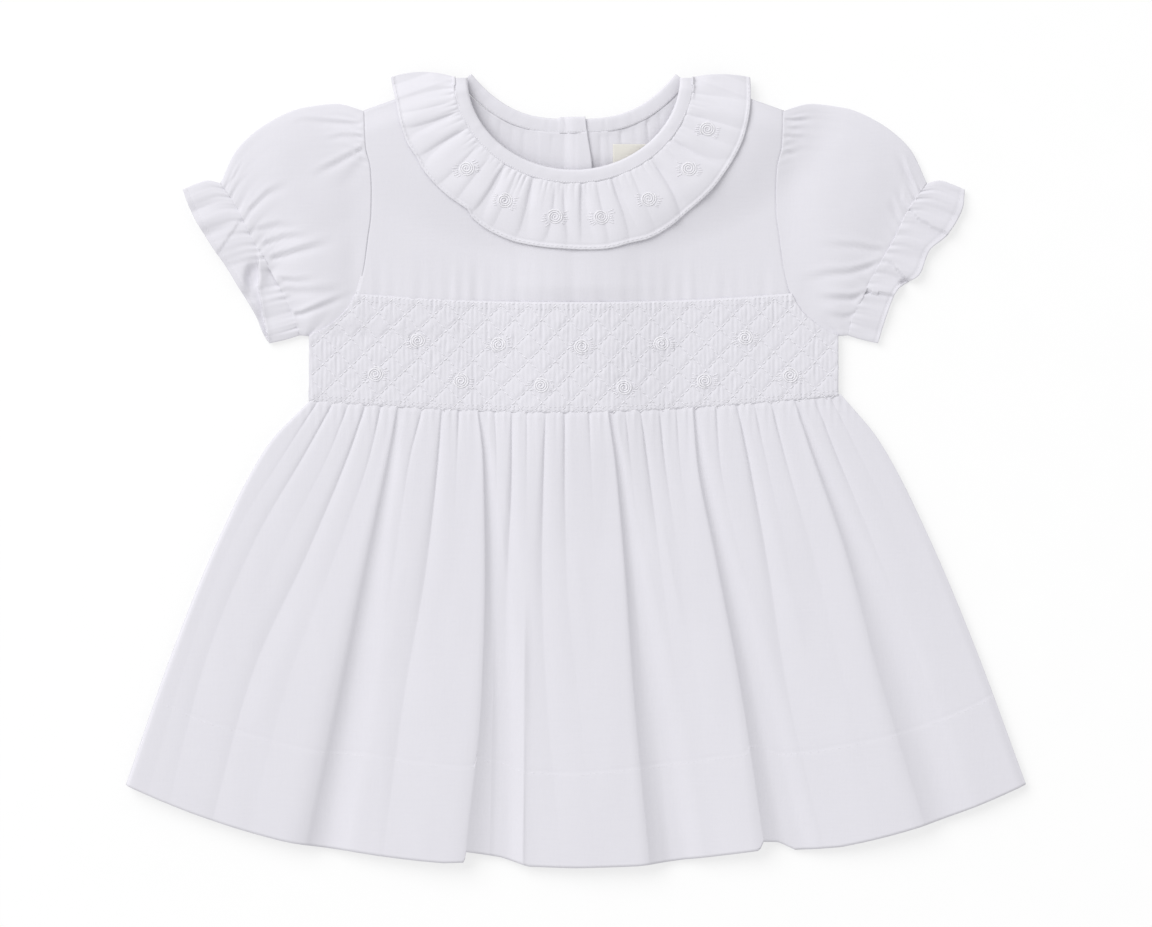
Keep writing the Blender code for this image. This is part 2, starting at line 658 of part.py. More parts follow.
def make_button(number, y, material):
    """Small flat button on the outside of the back, on the surface that the dress lies on."""
    name = f"back_button_{number}"
    bm = bmesh.new()
    bmesh.ops.create_cone(bm, cap_ends=True, segments=24, radius1=BUTTON_ACROSS * 0.5 * MM,
                          radius2=BUTTON_ACROSS * 0.5 * BUTTON_TAPER * MM, depth=BUTTON_THICK * MM)
    button = finish_object(bm, name, material)
    button.location = ((LAP_LEFT + LAP_RIGHT) * 0.5 * MM, y * MM, BUTTON_THICK * 0.5 * MM)
    for side in (-1, 1):
        bpy.ops.mesh.primitive_cylinder_add(vertices=10, radius=BUTTON_HOLE * 0.5 * MM, depth=0.01)
        cutter = bpy.context.object
        cutter.name = f"{name}_hole_{side}"
        cutter.location = (button.location.x + side * BUTTON_HOLE_OFF * MM, y * MM, 0.0)
        cutter.hide_render = True
        cutter.display_type = "WIRE"
        for home in cutter.users_collection:
            home.objects.unlink(cutter)
        bpy.data.collections["cutters"].objects.link(cutter)
        cut = button.modifiers.new("hole", "BOOLEAN")
        cut.object = cutter
        cut.operation = "DIFFERENCE"
    return button


# ---- skirt -------------------------------------------------------------------------------------------
def side_places(side, power):
    return [side * mix(CHEST_HALF, HEM_HALF, station ** power) for station in FOLD_STATIONS]


def skirt_columns():
    """Columns of the skirt, left to right: where each lies down the skirt, and how it is lifted."""
    def between(first, second, share):
        return [mix(a, b, share) for a, b in zip(first, second)]

    left = side_places(-1, SKIRT_SIDE_POWER[0])
    right = side_places(1, SKIRT_SIDE_POWER[1])
    columns = [{"places": left, "kind": "edge", "sizes": (0.0, 0.0, 0.0)}]
    previous = left
    for places, sizes, deep in SKIRT_FOLDS:
        if deep:
            shoulder = between(previous, places, SHOULDER_AT)
            columns.append({"places": shoulder, "kind": "shoulder", "sizes": sizes})
        ridge = DEEP_RIDGE_AT if deep else RIDGE_AT
        columns.append({"places": between(previous, places, ridge), "kind": "ridge", "sizes": sizes})
        columns.append({"places": list(places), "kind": "valley", "sizes": sizes})
        previous = list(places)
    columns.append({"places": between(previous, right, 0.5), "kind": "ridge", "sizes": LAST_RIDGE_SIZE})
    columns.append({"places": right, "kind": "edge", "sizes": (0.0, 0.0, 0.0)})
    return columns


def column_lift(column, t):
    """How far a column's cloth stands over its lowest level."""
    level = interpolated(SIZE_STATIONS, SKIRT_LEVEL, t)
    size = interpolated(SIZE_STATIONS, column["sizes"], t)
    if column["kind"] == "edge":
        return 0.0
    if column["kind"] == "valley":
        return max(0.0, level - DIP_SHARE * size)
    if column["kind"] == "shoulder":
        return level + SHOULDER_SHARE * size
    return level + RIDGE_SHARE * size


def skirt_panel(name, material, columns, rows, under):
    """A skirt layer over the given columns; under turns a lift into the height of its underside."""
    def place(u, v):
        places = columns[round(u)]["places"]
        x = interpolated(FOLD_STATIONS, places, v)
        return x, mix(waist_y(places[0]) - SEAM, hem_y(places[-1]), v)

    def low(x, y, u, v):
        return under(column_lift(columns[round(u)], v))

    def high(x, y, u, v):
        return low(x, y, u, v) + WALL

    return panel(name, material, list(range(len(columns))), rows, place, low, high)


def front_under(lift):
    return WALL + FLOOR_GAP + lift


def back_under(lift):
    return max(0.0, BACK_FOLLOWS * (lift - BACK_STARTS))


# ---- sleeves -----------------------------------------------------------------------------------------
def turned(table, side):
    """A table of reaches and heights as points on one side of the dress."""
    return [(CENTRE_X + side * reach, y) for reach, y in table]


def round_tube(name, material, turns, rows, plan, low, high):
    """A flattened tube. plan(p, q) lays it out; low and high are its outer heights there."""
    def skin(u, v, inset, wall):
        turn = 2.0 * math.pi * (u % 1.0)
        q = 0.5 - 0.5 * math.cos(turn)
        q = mix(inset, 1.0 - inset, q)
        x, y = plan(v, q)
        bottom = low(x, y, v, q) + wall
        top = high(x, y, v, q) - wall
        middle = 0.5 * (bottom + top)
        share = abs(math.sin(turn)) ** TUBE_POWER
        return x, y, mix(middle, top if turn < math.pi else bottom, share)

    def outer(u, v):
        return skin(u, v, 0.0, 0.0)

    def inner(u, v):
        return skin(u, v, TUBE_INSET, WALL)

    return cloth(name, material, even(turns), rows, outer, inner, tube=True)


def make_sleeve(name, material, side):
    """Short puffed sleeve, from the armhole to the elastic."""
    armhole = [(CENTRE_X + side * (reach + CURVED_SEAM), y + CURVED_SEAM * ramp(y, *UNDERARM_DROP))
               for y, reach in ARMHOLE]
    top = turned(SLEEVE_TOP, side)
    foot = turned(UNDERARM, side)
    cuff = turned(ELASTIC, side)
    armhole[0] = top[0]
    armhole[-1] = foot[0]

    def plan(p, q):
        return patch(lambda s: along(armhole, s), lambda s: along(cuff, s),
                     lambda s: along(top, s), lambda s: along(foot, s), p, q)

    def low(x, y, p, q):
        return back_lift(x, y) * (1.0 - p)

    def high(x, y, p, q):
        level = mix(front_base(x, y) + WALL, SLEEVE_CUFF_HEIGHT, ramp(p, 0.0, PUFF_LEVEL_BY))
        return level + PUFF * math.sin(math.pi * p) * math.sin(math.pi * q) ** PUFF_POWER

    return round_tube(name, material, SLEEVE_TURNS, even(9), plan, low, high)


def make_sleeve_frill(name, material, side, edge_table):
    """Frill below the elastic of a sleeve, in soft waves."""
    cuff = turned([(reach + CURVED_SEAM, y) for reach, y in ELASTIC], side)
    edge = turned(edge_table, side)
    top = turned(FRILL_TOP_EDGE, side)
    foot = turned(FRILL_FOOT_EDGE, side)
    cuff[0] = top[0]
    cuff[-1] = foot[0]
    edge[0] = top[-1]
    edge[-1] = foot[-1]

    def plan(p, q):
        return patch(lambda s: along(cuff, s), lambda s: along(edge, s),
                     lambda s: along(top, s), lambda s: along(foot, s), p, q)

    def wave(q):
        return 0.5 - 0.5 * math.cos(2.0 * math.pi * SLEEVE_FRILL_WAVES * q)

    def low(x, y, p, q):
        return 0.0

    def high(x, y, p, q):
        return SLEEVE_CUFF_HEIGHT - SLEEVE_FRILL_STEP + SLEEVE_FRILL_WAVE * p * wave(q)

    return round_tube(name, material, FRILL_TURNS, even(3), plan, low, high)


# ---- the dress ---------------------------------------------------------------------------------------
def clear_scene():
    for item in list(bpy.data.objects):
        bpy.data.objects.remove(item)


def make_dress():
    white = fabric("white_cotton", (0.80, 0.79, 0.83), 0.85)
    smocked = fabric("smocked_cotton", (0.81, 0.80, 0.84), 0.85)
    trim = fabric("cotton_trim", (0.82, 0.81, 0.85), 0.8)
    cream = fabric("cream_label", (0.78, 0.74, 0.64), 0.7)
    shell = fabric("button_shell", (0.86, 0.85, 0.84), 0.3)

    make_yoke(white)
    make_band(smocked)
    back_half("bodice_back_left", white, -1, LAP_RIGHT, upper_lap)
    back_half("bodice_back_right", white, 1, LAP_LEFT, lower_lap)
    make_front_binding(trim)
    back_binding("neck_binding_back_left", trim, -1, LAP_RIGHT, upper_lap)
    back_binding("neck_binding_back_right", trim, 1, LAP_LEFT, lower_lap)
    make_front_frill(white)
    back_frill("collar_frill_back_left", white, -1, LAP_LEFT)
    back_frill("collar_frill_back_right", white, 1, LAP_RIGHT)
    make_label(cream)
    for number, y in enumerate(BUTTON_HEIGHTS, start=1):
        make_button(number, y, shell)

    columns = skirt_columns()
    skirt_panel("skirt_front", white, columns, SKIRT_ROWS, front_under)
    plain = [column for column in columns if column["kind"] != "shoulder"]
    skirt_panel("skirt_back", white, plain, SKIRT_BACK_ROWS, back_under)

    for name, side, edge in (("left", -1, FRILL_EDGE_LEFT), ("right", 1, FRILL_EDGE_RIGHT)):
        make_sleeve(f"sleeve_{name}", white, side)
        make_sleeve_frill(f"sleeve_frill_{name}", white, side, edge)


clear_scene()
collection = bpy.data.collections.new("toddler_dress")
bpy.context.scene.collection.children.link(collection)
bpy.context.scene.collection.children.link(bpy.data.collections.new("cutters"))
make_dress()
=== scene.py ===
"""Looks of a toddler's smocked cotton dress that lies flat on its back.

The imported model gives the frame: +X across the dress, +Y from hem to neck, +Z up off the surface.
Sizes in this script are millimetres in that frame, turned to metres where a mesh is made.
"""
import math

import bmesh
import bpy
import numpy as np
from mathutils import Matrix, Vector


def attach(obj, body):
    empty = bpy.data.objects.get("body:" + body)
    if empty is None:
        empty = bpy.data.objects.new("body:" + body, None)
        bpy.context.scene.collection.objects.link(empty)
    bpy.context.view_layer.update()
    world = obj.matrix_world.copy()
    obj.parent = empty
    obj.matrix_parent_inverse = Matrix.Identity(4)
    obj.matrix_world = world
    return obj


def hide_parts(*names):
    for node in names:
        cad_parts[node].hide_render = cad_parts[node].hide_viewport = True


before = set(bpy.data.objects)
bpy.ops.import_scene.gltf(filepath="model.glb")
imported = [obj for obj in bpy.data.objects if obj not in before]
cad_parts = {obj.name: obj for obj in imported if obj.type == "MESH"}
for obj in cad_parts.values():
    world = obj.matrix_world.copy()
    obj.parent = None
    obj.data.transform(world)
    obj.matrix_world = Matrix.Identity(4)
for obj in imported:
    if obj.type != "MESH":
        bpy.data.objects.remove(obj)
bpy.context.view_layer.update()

MM = 0.001

# ---- the garment's sizes, mm, as in its solids ----
WALL = 1.3
CLOTH = 0.8  # thickness of the shells shown
CENTRE_X = -1.25
CHEST_HALF = 140
HEM_HALF = 238
HEM_LOW = -210.5
HEM_CORNER_RISE = 44
HEM_POWER = 2.6
HEM_DEPTH = 50
WAIST_LOW = 29.9
WAIST_RISE = 7.7
WAIST_TILT = 1.35
WAIST_POWER = 1.7
BAND_TOP = 93
BAND_TOP_SAG = 4.5
SHOULDER_OUT = 189.5
SHOULDER_IN = 206.5
SHOULDER_REACH = 111.75
NECK_Y = 207.3
NECK_INNER = (56, 49)
BINDING_WIDTH = 7.5
NECK_OUTER = NECK_INNER[0] + BINDING_WIDTH
BACK_NECK_LOW = 177.6
BACK_NECK_RISE = 22
BACK_NECK_HALF = 56
BACK_NECK_POWER = 2.75
BACK_NECK_END = 61
FRILL_OUTER = (97, 91.5)
FRILL_BACK_DEPTH = 66
FRILL_TOP_BULGE = (2.8, 1.6)
LAP_LEFT = 0.3
LAP_RIGHT = 8
LAP_LIFT = 1.5
LAP_LIFT_HEIGHTS = (86, 98)  # it grows between these heights
LAP_REST = (12, 1)  # the right half rises to the lap between these distances from its edge
LAP_CLIMB = (12, 1.5)  # and the left half climbs over it between these
LAP_LEVEL = (9, 4)  # the front lies level this far past the lap's left and right edge
LAP_FOLD = 0.5
LAP_SLOPE = 45
SEAM = 0.3
NECK_LIFT = 2.4
NECK_AIR = 4.5
NECK_ZONE = (1.5, 1.05)  # where the lift round the neck starts and is whole, as shares of the frill's oval
SHOULDER_EASE = 14  # the front comes down to the back over this distance from the shoulder
FRONT_GAP = 0.8
FLOOR_GAP = 0.5
BACK_FOLLOWS = 0.75  # share of the front's lift past BACK_STARTS that the skirt's back takes
BACK_STARTS = 1.6
SEAM_TUCK = 1  # how far the skirt runs up beneath the band
SEAM_HEIGHT = 1.25  # of the skirt above the front's underside there
SLEEVE_REACH = 75  # from the armhole to the elastic, along the middle
FRILL_REACH = 20  # from the elastic to the frill's edge

# Armhole: height, reach from the centre line.
ARMHOLE = (
    (189.5, 111.75), (171, 111), (159, 108.5), (147, 108), (135, 108.3), (122, 110),
    (107, 112), (93, 115.6), (84.5, 120.3), (77, 128.5), (70.5, CHEST_HALF),
)
SLEEVE_TOP = ((111.9, 189.6), (125.5, 193.5), (143, 191.5), (161, 184), (178.5, 169),
              (187, 151.5))
ELASTIC = ((187, 151.5), (177.5, 137), (170, 121.5), (161.5, 107), (154, 93),
           (148.5, 81), (145, 71))
UNDERARM = ((140.3, 70.2), (145, 71))
FRILL_EDGE_LEFT = ((206.8, 148), (201.8, 135.5), (192.3, 119.5), (183.3, 106.5), (176.3, 95),
                   (168.3, 82), (163.8, 71.5), (160.3, 66.5))
FRILL_EDGE_RIGHT = ((207.8, 148.5), (206.3, 140.5), (198, 124.5), (188.3, 116), (182.8, 103),
                    (172, 96), (167.5, 87), (161.8, 67.5))
FRILL_TOP_EDGE = ((187.1, 151.6), (193.5, 153), (200.5, 151), (207, 148.2))
FRILL_FOOT_EDGE = ((145.1, 71), (152.5, 68.7), (161, 66.8))

# Folds of the skirt: where each valley lies at five stations down the skirt, and how deep it is there.
FOLD_STATIONS = (0, 0.12, 0.35, 0.65, 1)
SKIRT_FOLDS = (
    ((-136, -152, -181, -205, -226), (0.6, 0.2, 0.1, 0.2, 0.2)),
    ((-128, -142, -170, -196, -215), (0.9, 0.6, 0.4, 0.5, 0.2)),
    ((-120, -130, -155, -185, -205), (0.7, 0.2, 0.1, 0, 0)),
    ((-111, -120, -141, -171, -192), (1, 0.9, 0.8, 0.7, 0.4)),
    ((-103, -109, -127, -152, -173), (0.9, 0.4, 0.2, 0.2, 0.1)),
    ((-94, -99, -110, -124, -141), (1.2, 1.5, 2.4, 3.6, 4.3)),
    ((-81, -88, -96, -109, -123), (0.9, 0.4, 0.2, 0.1, 0.1)),
    ((-71, -73, -79, -91, -102), (1.1, 1.2, 1.1, 0.7, 0.2)),
    ((-62, -63, -65, -72, -82), (0.8, 0.2, 0, 0, 0)),
    ((-52, -49, -48, -50, -58), (1.3, 1.8, 2.7, 4.2, 5.5)),
    ((-43, -42, -42, -44, -46), (0.8, 0.3, 0.1, 0, 0)),
    ((-34, -34, -36, -39, -41), (1.1, 1.4, 1.4, 0.4, 0)),
    ((-26, -26, -27, -28, -27), (0.8, 0.3, 0, 0, 0)),
    ((-16, -17, -18, -15, -7), (1.1, 1.3, 1, 0.4, 0.1)),
    ((-6, -6, -5, 2, 11), (1, 0.9, 0.4, 0.2, 0.1)),
    ((7, 8, 11, 17, 25), (0.8, 0.2, 0, 0, 0)),
    ((17, 21, 26, 31, 39), (1.3, 1.7, 2.8, 4, 5.2)),
    ((26, 29, 35, 43, 50), (0.8, 0.2, 0.1, 0, 0)),
    ((34, 38, 45, 54, 62), (1, 0.9, 0.4, 0.1, 0)),
    ((44, 47, 55, 65, 74), (1, 0.6, 0.1, 0.1, 0)),
    ((53, 55, 64, 76, 86), (0.8, 0.2, 0, 0, 0)),
    ((62, 64, 74, 87, 99), (1.2, 1.6, 2.5, 3.9, 5.4)),
    ((74, 76, 87, 100, 115), (0.8, 0.4, 0.1, 0, 0)),
    ((85, 91, 101, 112, 131), (1.1, 1.3, 1.3, 0.7, 0.3)),
    ((94, 100, 112, 126, 146), (0.8, 0.3, 0.1, 0, 0)),
    ((103, 110, 125, 142, 163), (1, 0.7, 0.3, 0.2, 0.1)),
    ((115, 124, 142, 160, 184), (1.2, 1.5, 2.6, 3.8, 3.4)),
    ((126, 136, 157, 182, 207), (1, 1, 0.7, 0.4, 0.3)),
    ((134, 147, 171, 198, 223), (0.9, 0.5, 0.2, 0.1, 0.1)),
)
# Main folds, by their place at the waist: width of the falling side by station, the share of the fall
# that lies before the edge, and how far before, as a share of the width.
MAIN_FOLDS = {
    -94: ((1, 2.2, 4.5, 7, 10), 0.5, 0.9),
    -52: ((1, 2.4, 5, 12, 21), 0.15, 0.35),
    17: ((1, 2.4, 5, 11, 16), 0.15, 0.3),
    62: ((1, 2.4, 5, 10, 18), 0.15, 0.3),
    115: ((1, 2.2, 6, 14, 15), 0.2, 0.4),
}
SKIRT_SIDE_POWER = (0.68, 0.74)
# Height of the skirt's front above what it lies on, by station.
SKIRT_LEVEL = ((0, 0.012, 0.12, 0.5, 1), (0.05, 0.75, 1.5, 3.1, 4.7))
# Reach of a plain valley on its left and its right, at the waist and at the hem.
PLAIN_REACH = ((0.5, 3.6), (0.9, 6.5))
# Extra height of the crest beside a main fold, as a share of its depth, and its reach at the hem.
FOLD_CREST = (0.24, 40)
# A main fold rises again in a quick part and a slow part, each with its share and its reach at the hem.
FOLD_RISE = ((0.5, 17), (0.5, 52))
HEM_WAVE = (
    (-154, 0), (-120, 1.5), (-70, 1), (-59, 2), (-58, 7.5), (-40, 5), (-25, 0.5), (0, 0),
    (33, 1), (58, 3.2), (82, 4.6), (97, 5.2), (99, 9.5), (107, 8), (116, 2.5), (140, 0),
)
LONGEST_STITCH = 2.5  # the hem's stitches leave out wider gaps between columns
HEM_ZONE = -200  # a ridge that ends below this runs into the hem
LEAST_LIFT = 0.03  # the front never sinks into the back of the skirt
# Columns of points beside a valley: distances after and before it, in a fold at least this wide.
COLUMNS_AFTER = (0, 0.45, 1.1, 2.2, 4)
COLUMNS_BEFORE = (3, 1.5, 0.75, 0.3)
COLUMNS_FIT = 9.5
# Folds of the front collar frill: place at the neck and at the free edge, depth, bend.
COLLAR_FOLDS = (
    (0.035, 0.045, 0.5, 0), (0.072, 0.070, 0.6, 0.003), (0.105, 0.106, 1.7, 0.003),
    (0.160, 0.167, 1.5, -0.003), (0.215, 0.225, 0.6, 0.004), (0.262, 0.268, 0.5, 0),
    (0.306, 0.312, 2.2, 0.004), (0.350, 0.352, 0.5, 0), (0.390, 0.405, 1.5, 0.003),
    (0.451, 0.448, 0.8, 0.006), (0.474, 0.497, 1.1, -0.003), (0.522, 0.524, 2.2, -0.003),
    (0.560, 0.565, 0.7, 0), (0.601, 0.607, 1.9, 0.003), (0.655, 0.650, 0.5, 0),
    (0.722, 0.706, 1.6, 0.003), (0.765, 0.768, 0.5, 0), (0.800, 0.825, 1.4, -0.004),
    (0.850, 0.862, 0.4, 0), (0.884, 0.897, 0.9, 0.003), (0.950, 0.955, 0.5, 0),
)
# Reach of its free edge, as a share of the oval's, by place.
FRILL_REACHES = (
    (0, 0.995), (0.053, 0.978), (0.087, 0.981), (0.123, 0.984), (0.160, 0.974), (0.183, 0.980),
    (0.206, 0.978), (0.253, 0.970), (0.292, 0.960), (0.310, 0.984), (0.353, 1.001), (0.393, 1.004),
    (0.434, 0.998), (0.478, 0.994), (0.518, 1.000), (0.567, 1.010), (0.595, 1.008), (0.636, 1.020),
    (0.676, 1.012), (0.723, 0.996), (0.775, 0.997), (0.820, 0.992), (0.869, 0.992), (0.904, 0.986),
    (0.953, 0.974), (1, 0.962),
)
# Where the free edge stands off the yoke: place, half width, lift.
FRILL_LOBES = ((0.690, 0.014, 0.5), (0.770, 0.020, 0.8), (0.850, 0.020, 0.4), (0.920, 0.040, 0.3))
# Lengths of its curves at the neck and at the free edge, and its depth from one to the other.
FRILL_NECK_ARC = 188
FRILL_EDGE_ARC = 296
FRILL_DEPTH = 36
FRILL_HEM = 2
# Creases of the sleeves: points from the seam outwards, depth and width.
SLEEVE_CREASES = {
    -1: (
        (((-113, 182.6), (-144.7, 184.7), (-153.7, 180)), 0.8, 1.6),
        (((-112, 176), (-124, 176.5), (-134, 174)), 0.9, 1.2),
        (((-111.5, 170.4), (-130.9, 159.8), (-142.4, 153.5)), 1.3, 1.5),
        (((-112, 164.5), (-127.2, 145)), 0.5, 4),
        (((-172.5, 137), (-162.7, 146), (-149, 151.5)), 0.9, 1.8),
        (((-170, 126.5), (-158, 129), (-146, 128)), 0.8, 1.8),
        (((-167, 118.5), (-154, 122.8), (-138.4, 123.8)), 1.1, 1.5),
        (((-164, 111), (-141.4, 116.9), (-125.2, 121.5)), 1.5, 1.8),
        (((-158, 101), (-148, 99.5), (-134, 100.5)), 0.9, 1.6),
        (((-153, 94.1), (-116.7, 94.1)), 0.8, 2.6),
        (((-163, 79.8), (-144.7, 82.4), (-124.7, 90.3), (-113, 94.5)), 1.5, 1.6),
        (((-187.5, 147.1), (-180.5, 155.1), (-174.9, 165.5)), 0.45, 0.9),
        (((-182.5, 144.1), (-177.5, 152.1), (-170.9, 159.5)), 0.35, 0.9),
    ),
    1: (
        (((109.8, 184.7), (126.7, 185.2)), 1, 1.1),
        (((109.8, 180.5), (121, 180.2)), 0.7, 1),
        (((109.8, 176.2), (123, 175.7)), 1, 1.1),
        (((109.8, 168), (118, 166.7)), 0.6, 1.3),
        (((182.8, 144), (174.9, 157.1), (169.1, 169.7)), 1.5, 1.4),
        (((186, 149.7), (182.9, 159.3), (174.5, 168.2)), 1.4, 1.2),
        (((175.8, 128.5), (171, 134), (164.9, 144.2)), 1.3, 1.5),
        (((177.8, 136.5), (172, 143), (170, 151)), 0.8, 1.5),
        (((168.5, 114.9), (146.8, 117.9), (122.2, 119)), 1, 1.8),
        (((163.6, 109.9), (144.7, 104.2), (132.5, 103.1), (115.3, 99)), 1.3, 2),
        (((155.1, 93), (144.7, 90.4), (124.2, 90.4)), 1.5, 2),
        (((150.1, 82), (140.7, 80.4), (128.2, 82.4)), 0.8, 2.2),
    ),
}
# Places where one part of a sleeve frill laps over the next, on the right of the line: line, depth, reach.
FRILL_LAPS = {
    -1: (
        (((-168, 112), (-168, 95), (-162, 64)), 3, 3.2),
        (((-190, 114), (-178, 131)), 0.5, 5),
    ),
    1: (
        (((146, 95.5), (158, 93.5), (170, 92)), 1.1, 3.4),
        (((176, 139), (181, 132.5), (197, 124)), 0.8, 3.4),
        (((166, 110), (174, 101), (182, 98)), 0.7, 3.2),
    ),
}
# Hollows between the lobes of a sleeve frill: middle, half width and half height, depth, slant.
FRILL_HOLLOWS = {
    -1: ((-171.6, 101.5, 3.4, 6.6, 2.8, 0.05), (-160, 101.5, 4.8, 6, 1.8, 0)),
    1: ((174.5, 99, 3, 1.6, 2.6, 0), (152.5, 94.5, 3.4, 1.3, 1, 0.1)),
}
# Soft pressed ridges on the front of the skirt: start, end, height, reach on the left and the right.
SKIRT_RIDGES = (
    ((-26.5, -57), (-28, -216), 1.1, (9, 1.3)),
    ((-91, -40), (-99, -112), 0.45, (6, 3)),
    ((-99, -112), (-105, -216), 0.35, (7, 5)),
    ((43, -14), (58, -90), 0.30, (5, 1.2)),
    ((-1, -32), (8, -107), 0.30, (5, 1.5)),
    ((-42, -30), (-46, -216), 0.45, (4, 7)),
    ((33, -60), (46, -216), 0.35, (5, 9)),
    ((100.7, -12.5), (124, -110), 0.30, (7, 3)),
    ((-140, -60), (-176, -150), 0.40, (8, 8)),
    ((150, -70), (172, -180), 0.35, (8, 8)),
)

# Soft creases that run down the yoke to the smocking: x, depth.
YOKE_CREASES = ((-31, 0.2), (-2, 0.4), (33, 0.25))

# The smocked band.
BAND_EDGES = (1.6, 1.35)  # height of its foot and its top at the seams
DIAMOND = 14.45  # width of one diamond of the smocking
DIAMOND_ROWS = 4  # in the height of the band
DIAMOND_SHIFT = (0.742, 0.135)  # of the pattern, in diamonds across and up
FINE_PLEATS = 6  # gathered pleats in the width of a diamond
TRELLIS_THREADS = ((1, 0.26), (-1, 0.28))  # lean and radius of each diagonal's stitches
EDGE_ROWS = ((1.3, True), (4, True), (1.2, False), (3, False))  # depth below the top or above the foot
# Rosebuds: x, y on the band and on the collar frill.
BAND_ROSES = (
    (-83.5, 68.1), (-40.8, 66), (3.2, 64.9), (45.3, 66.5), (89.4, 69.7),
    (-106.2, 50.4), (-61, 46.9), (-18.6, 44.3), (25.4, 43.2), (68.1, 46.9), (113.2, 49.7),
)
FRILL_ROSES = (
    (-57.8, 158.7), (-37.6, 141.8), (-11.1, 133.3), (13.3, 133.3), (38.2, 142.8), (59.4, 158.7),
    (69.4, 179.4),
)
# Gathers of the back below its binding: x, depth, length down.
BACK_GATHERS = (
    (-46, 0.5, 12), (-40, 0.6, 16), (-33.5, 0.4, 12), (-27.5, 0.5, 14), (-12.5, 0.35, 9),
    (-6, 0.3, 8), (12.5, 0.7, 18), (17, 0.4, 12), (23.5, 0.8, 13), (31, 0.35, 12),
    (37.5, 0.9, 12), (44, 0.4, 9),
)
FACING_X = -19.6  # edge of the turned facing on the left half of the back
LAP_TOP_X = 5.3  # the lapped edge leans: its x at the neck
LABEL_CENTRE = (33, 163.5)
LABEL_SIZE = (27, 17)

# Heights across the strips, from the foot: places and heights.
FRONT_BINDING_PROFILE = ((0, 0.06, 0.2, 0.5, 0.8, 0.93, 1), (1.72, 1.85, 1.97, 2.1, 1.95, 1.5, 0.5))
BACK_BINDING_PROFILE = ((0, 0.12, 0.3, 0.7, 0.92, 1), (0.15, 0.35, 0.5, 0.6, 0.45, 0.05))
FRILL_PROFILE = ((0, 0.02, 0.06, 0.3, 0.75, 1), (0.85, 1, 1.15, 1.3, 1, 0.25))
SLEEVE_CLOTH = 0.7  # thinner than the rest, because it is a closed tube
SLEEVE_HEM = 2.4  # from the frill's edge to its stitches
SLEEVE_LEVEL = 4.4  # height of a sleeve past its head, without its puff
SLEEVE_PUFF = 1.9
FRILL_LEVEL = 4.3  # of a sleeve's frill
FRILL_LOWEST = 1.9  # its waves level out above this
LABEL_LIFT = 0.55

# Counts of gathered pleats: at a sleeve's head, wide and fine ones at its cuff, the waves of its frill,
# and round the collar frill's neck.
HEAD_PLEATS = 27
CUFF_PLEATS = (15, 31)
FRILL_WAVES = 6
COLLAR_PLEATS = 58

# Smooth waves of the cloths: height, width, length, seed.
YOKE_WAVES = ((0.30, 38, 45, 31), (0.12, 13, 30, 32))
BAND_WAVES = ((0.14, 6, 7, 43), (0.10, 2.2, 3, 44))
BACK_WAVES = ((0.25, 7, 30, 51),)
LABEL_WAVES = ((0.10, 7, 6, 91),)
SLEEVE_WAVES = ((0.40, 16, 16, 320), (0.5, 34, 30, 330))

# Threads: radius of each kind of stitch.
HEM_THREAD = 0.10
EDGE_THREAD = 0.18
BINDING_THREAD = 0.17
BACK_BINDING_THREAD = 0.14
FRILL_THREAD = 0.16
SLEEVE_THREAD = 0.11
THREAD_TIP = 0.45  # a strand narrows to this share at its ends
BUD_SIZES = (4.2, 4.1)  # radius on the band and on the collar frill
BUD_TURNS = 3.2
BUD_STEPS = 72
BUD_HEIGHTS = (0.16, 0.10)  # of the coil above the cloth, from its middle outwards
LEAF_LEANS = (-0.62, -0.36, -0.12, 0.10, 0.36, 0.62)

# Points across and up each grid.
BAND_GRID = (421, 91)
FRONT_BINDING_GRID = (241, 21)
BACK_BINDING_GRID = (141, 17)
FRILL_GRID = (720, 54)
BACK_FRILL_GRID = (130, 20)
LABEL_GRID = (40, 24)

# ---- sizes of the tools ----
NOISE_CELLS = 64
CELL = 3  # mm, bins of points in a surface's look-up
SAME_POINT = 1e-6  # metres, closer points of a tube are one
EVENLY = (1, 1, 1)
BAND_SCALE = 0.314  # a wave texture's scale for bands one metre apart
WEAVE_DEPTH = 0.00003
TWIST_DEPTH = 0.00006

# ---- the picture ----
PIXEL = 0.53  # mm of the dress for each pixel of the picture
PICTURE = (1152, 927)
PICTURE_OFFSET = 6  # the dress's middle lies this many pixels below the picture's
CAMERA_HEIGHT = 1800
SENSOR = 36
LAMP_POWER = 2090  # a large soft lamp at the upper left
LAMP_DISTANCE = 9  # metres
LAMP_RADIUS = 3.8
LAMP_ELEVATION = 40
LAMP_FROM = 135  # direction that the light comes from, degrees from +X
SKY = 0.71
FLOOR_TONE = 0.38  # a lit table: part of its light comes from below
FLOOR_GRAIN = 0.9737  # its darkest grain, as a share of its tone
FLOOR_GLOW = 0.60


# ---- curves and noise ----
def ramp(value, start, end):
    """Smooth step: 0 at start, 1 at end, whichever of the two is larger."""
    share = np.clip((np.asarray(value, float) - start) / (end - start), 0, 1)
    return share * share * (3 - 2 * share)


def mix(low, high, share):
    return low + (high - low) * share


def bell(away, width):
    """1 in the middle, and next to nothing at twice the width."""
    return np.exp(-(away / width) ** 2)


def steps(first, *parts):
    """Even steps from a first value through parts, each given by its end and its count."""
    values = [np.array([first])]
    for end, count in parts:
        values.append(np.linspace(values[-1][-1], end, count)[1:])
    return np.concatenate(values)


def unit_grid(columns, rows):
    """Places across and up a grid, each from 0 to 1."""
    return np.meshgrid(np.linspace(0, 1, columns), np.linspace(0, 1, rows))


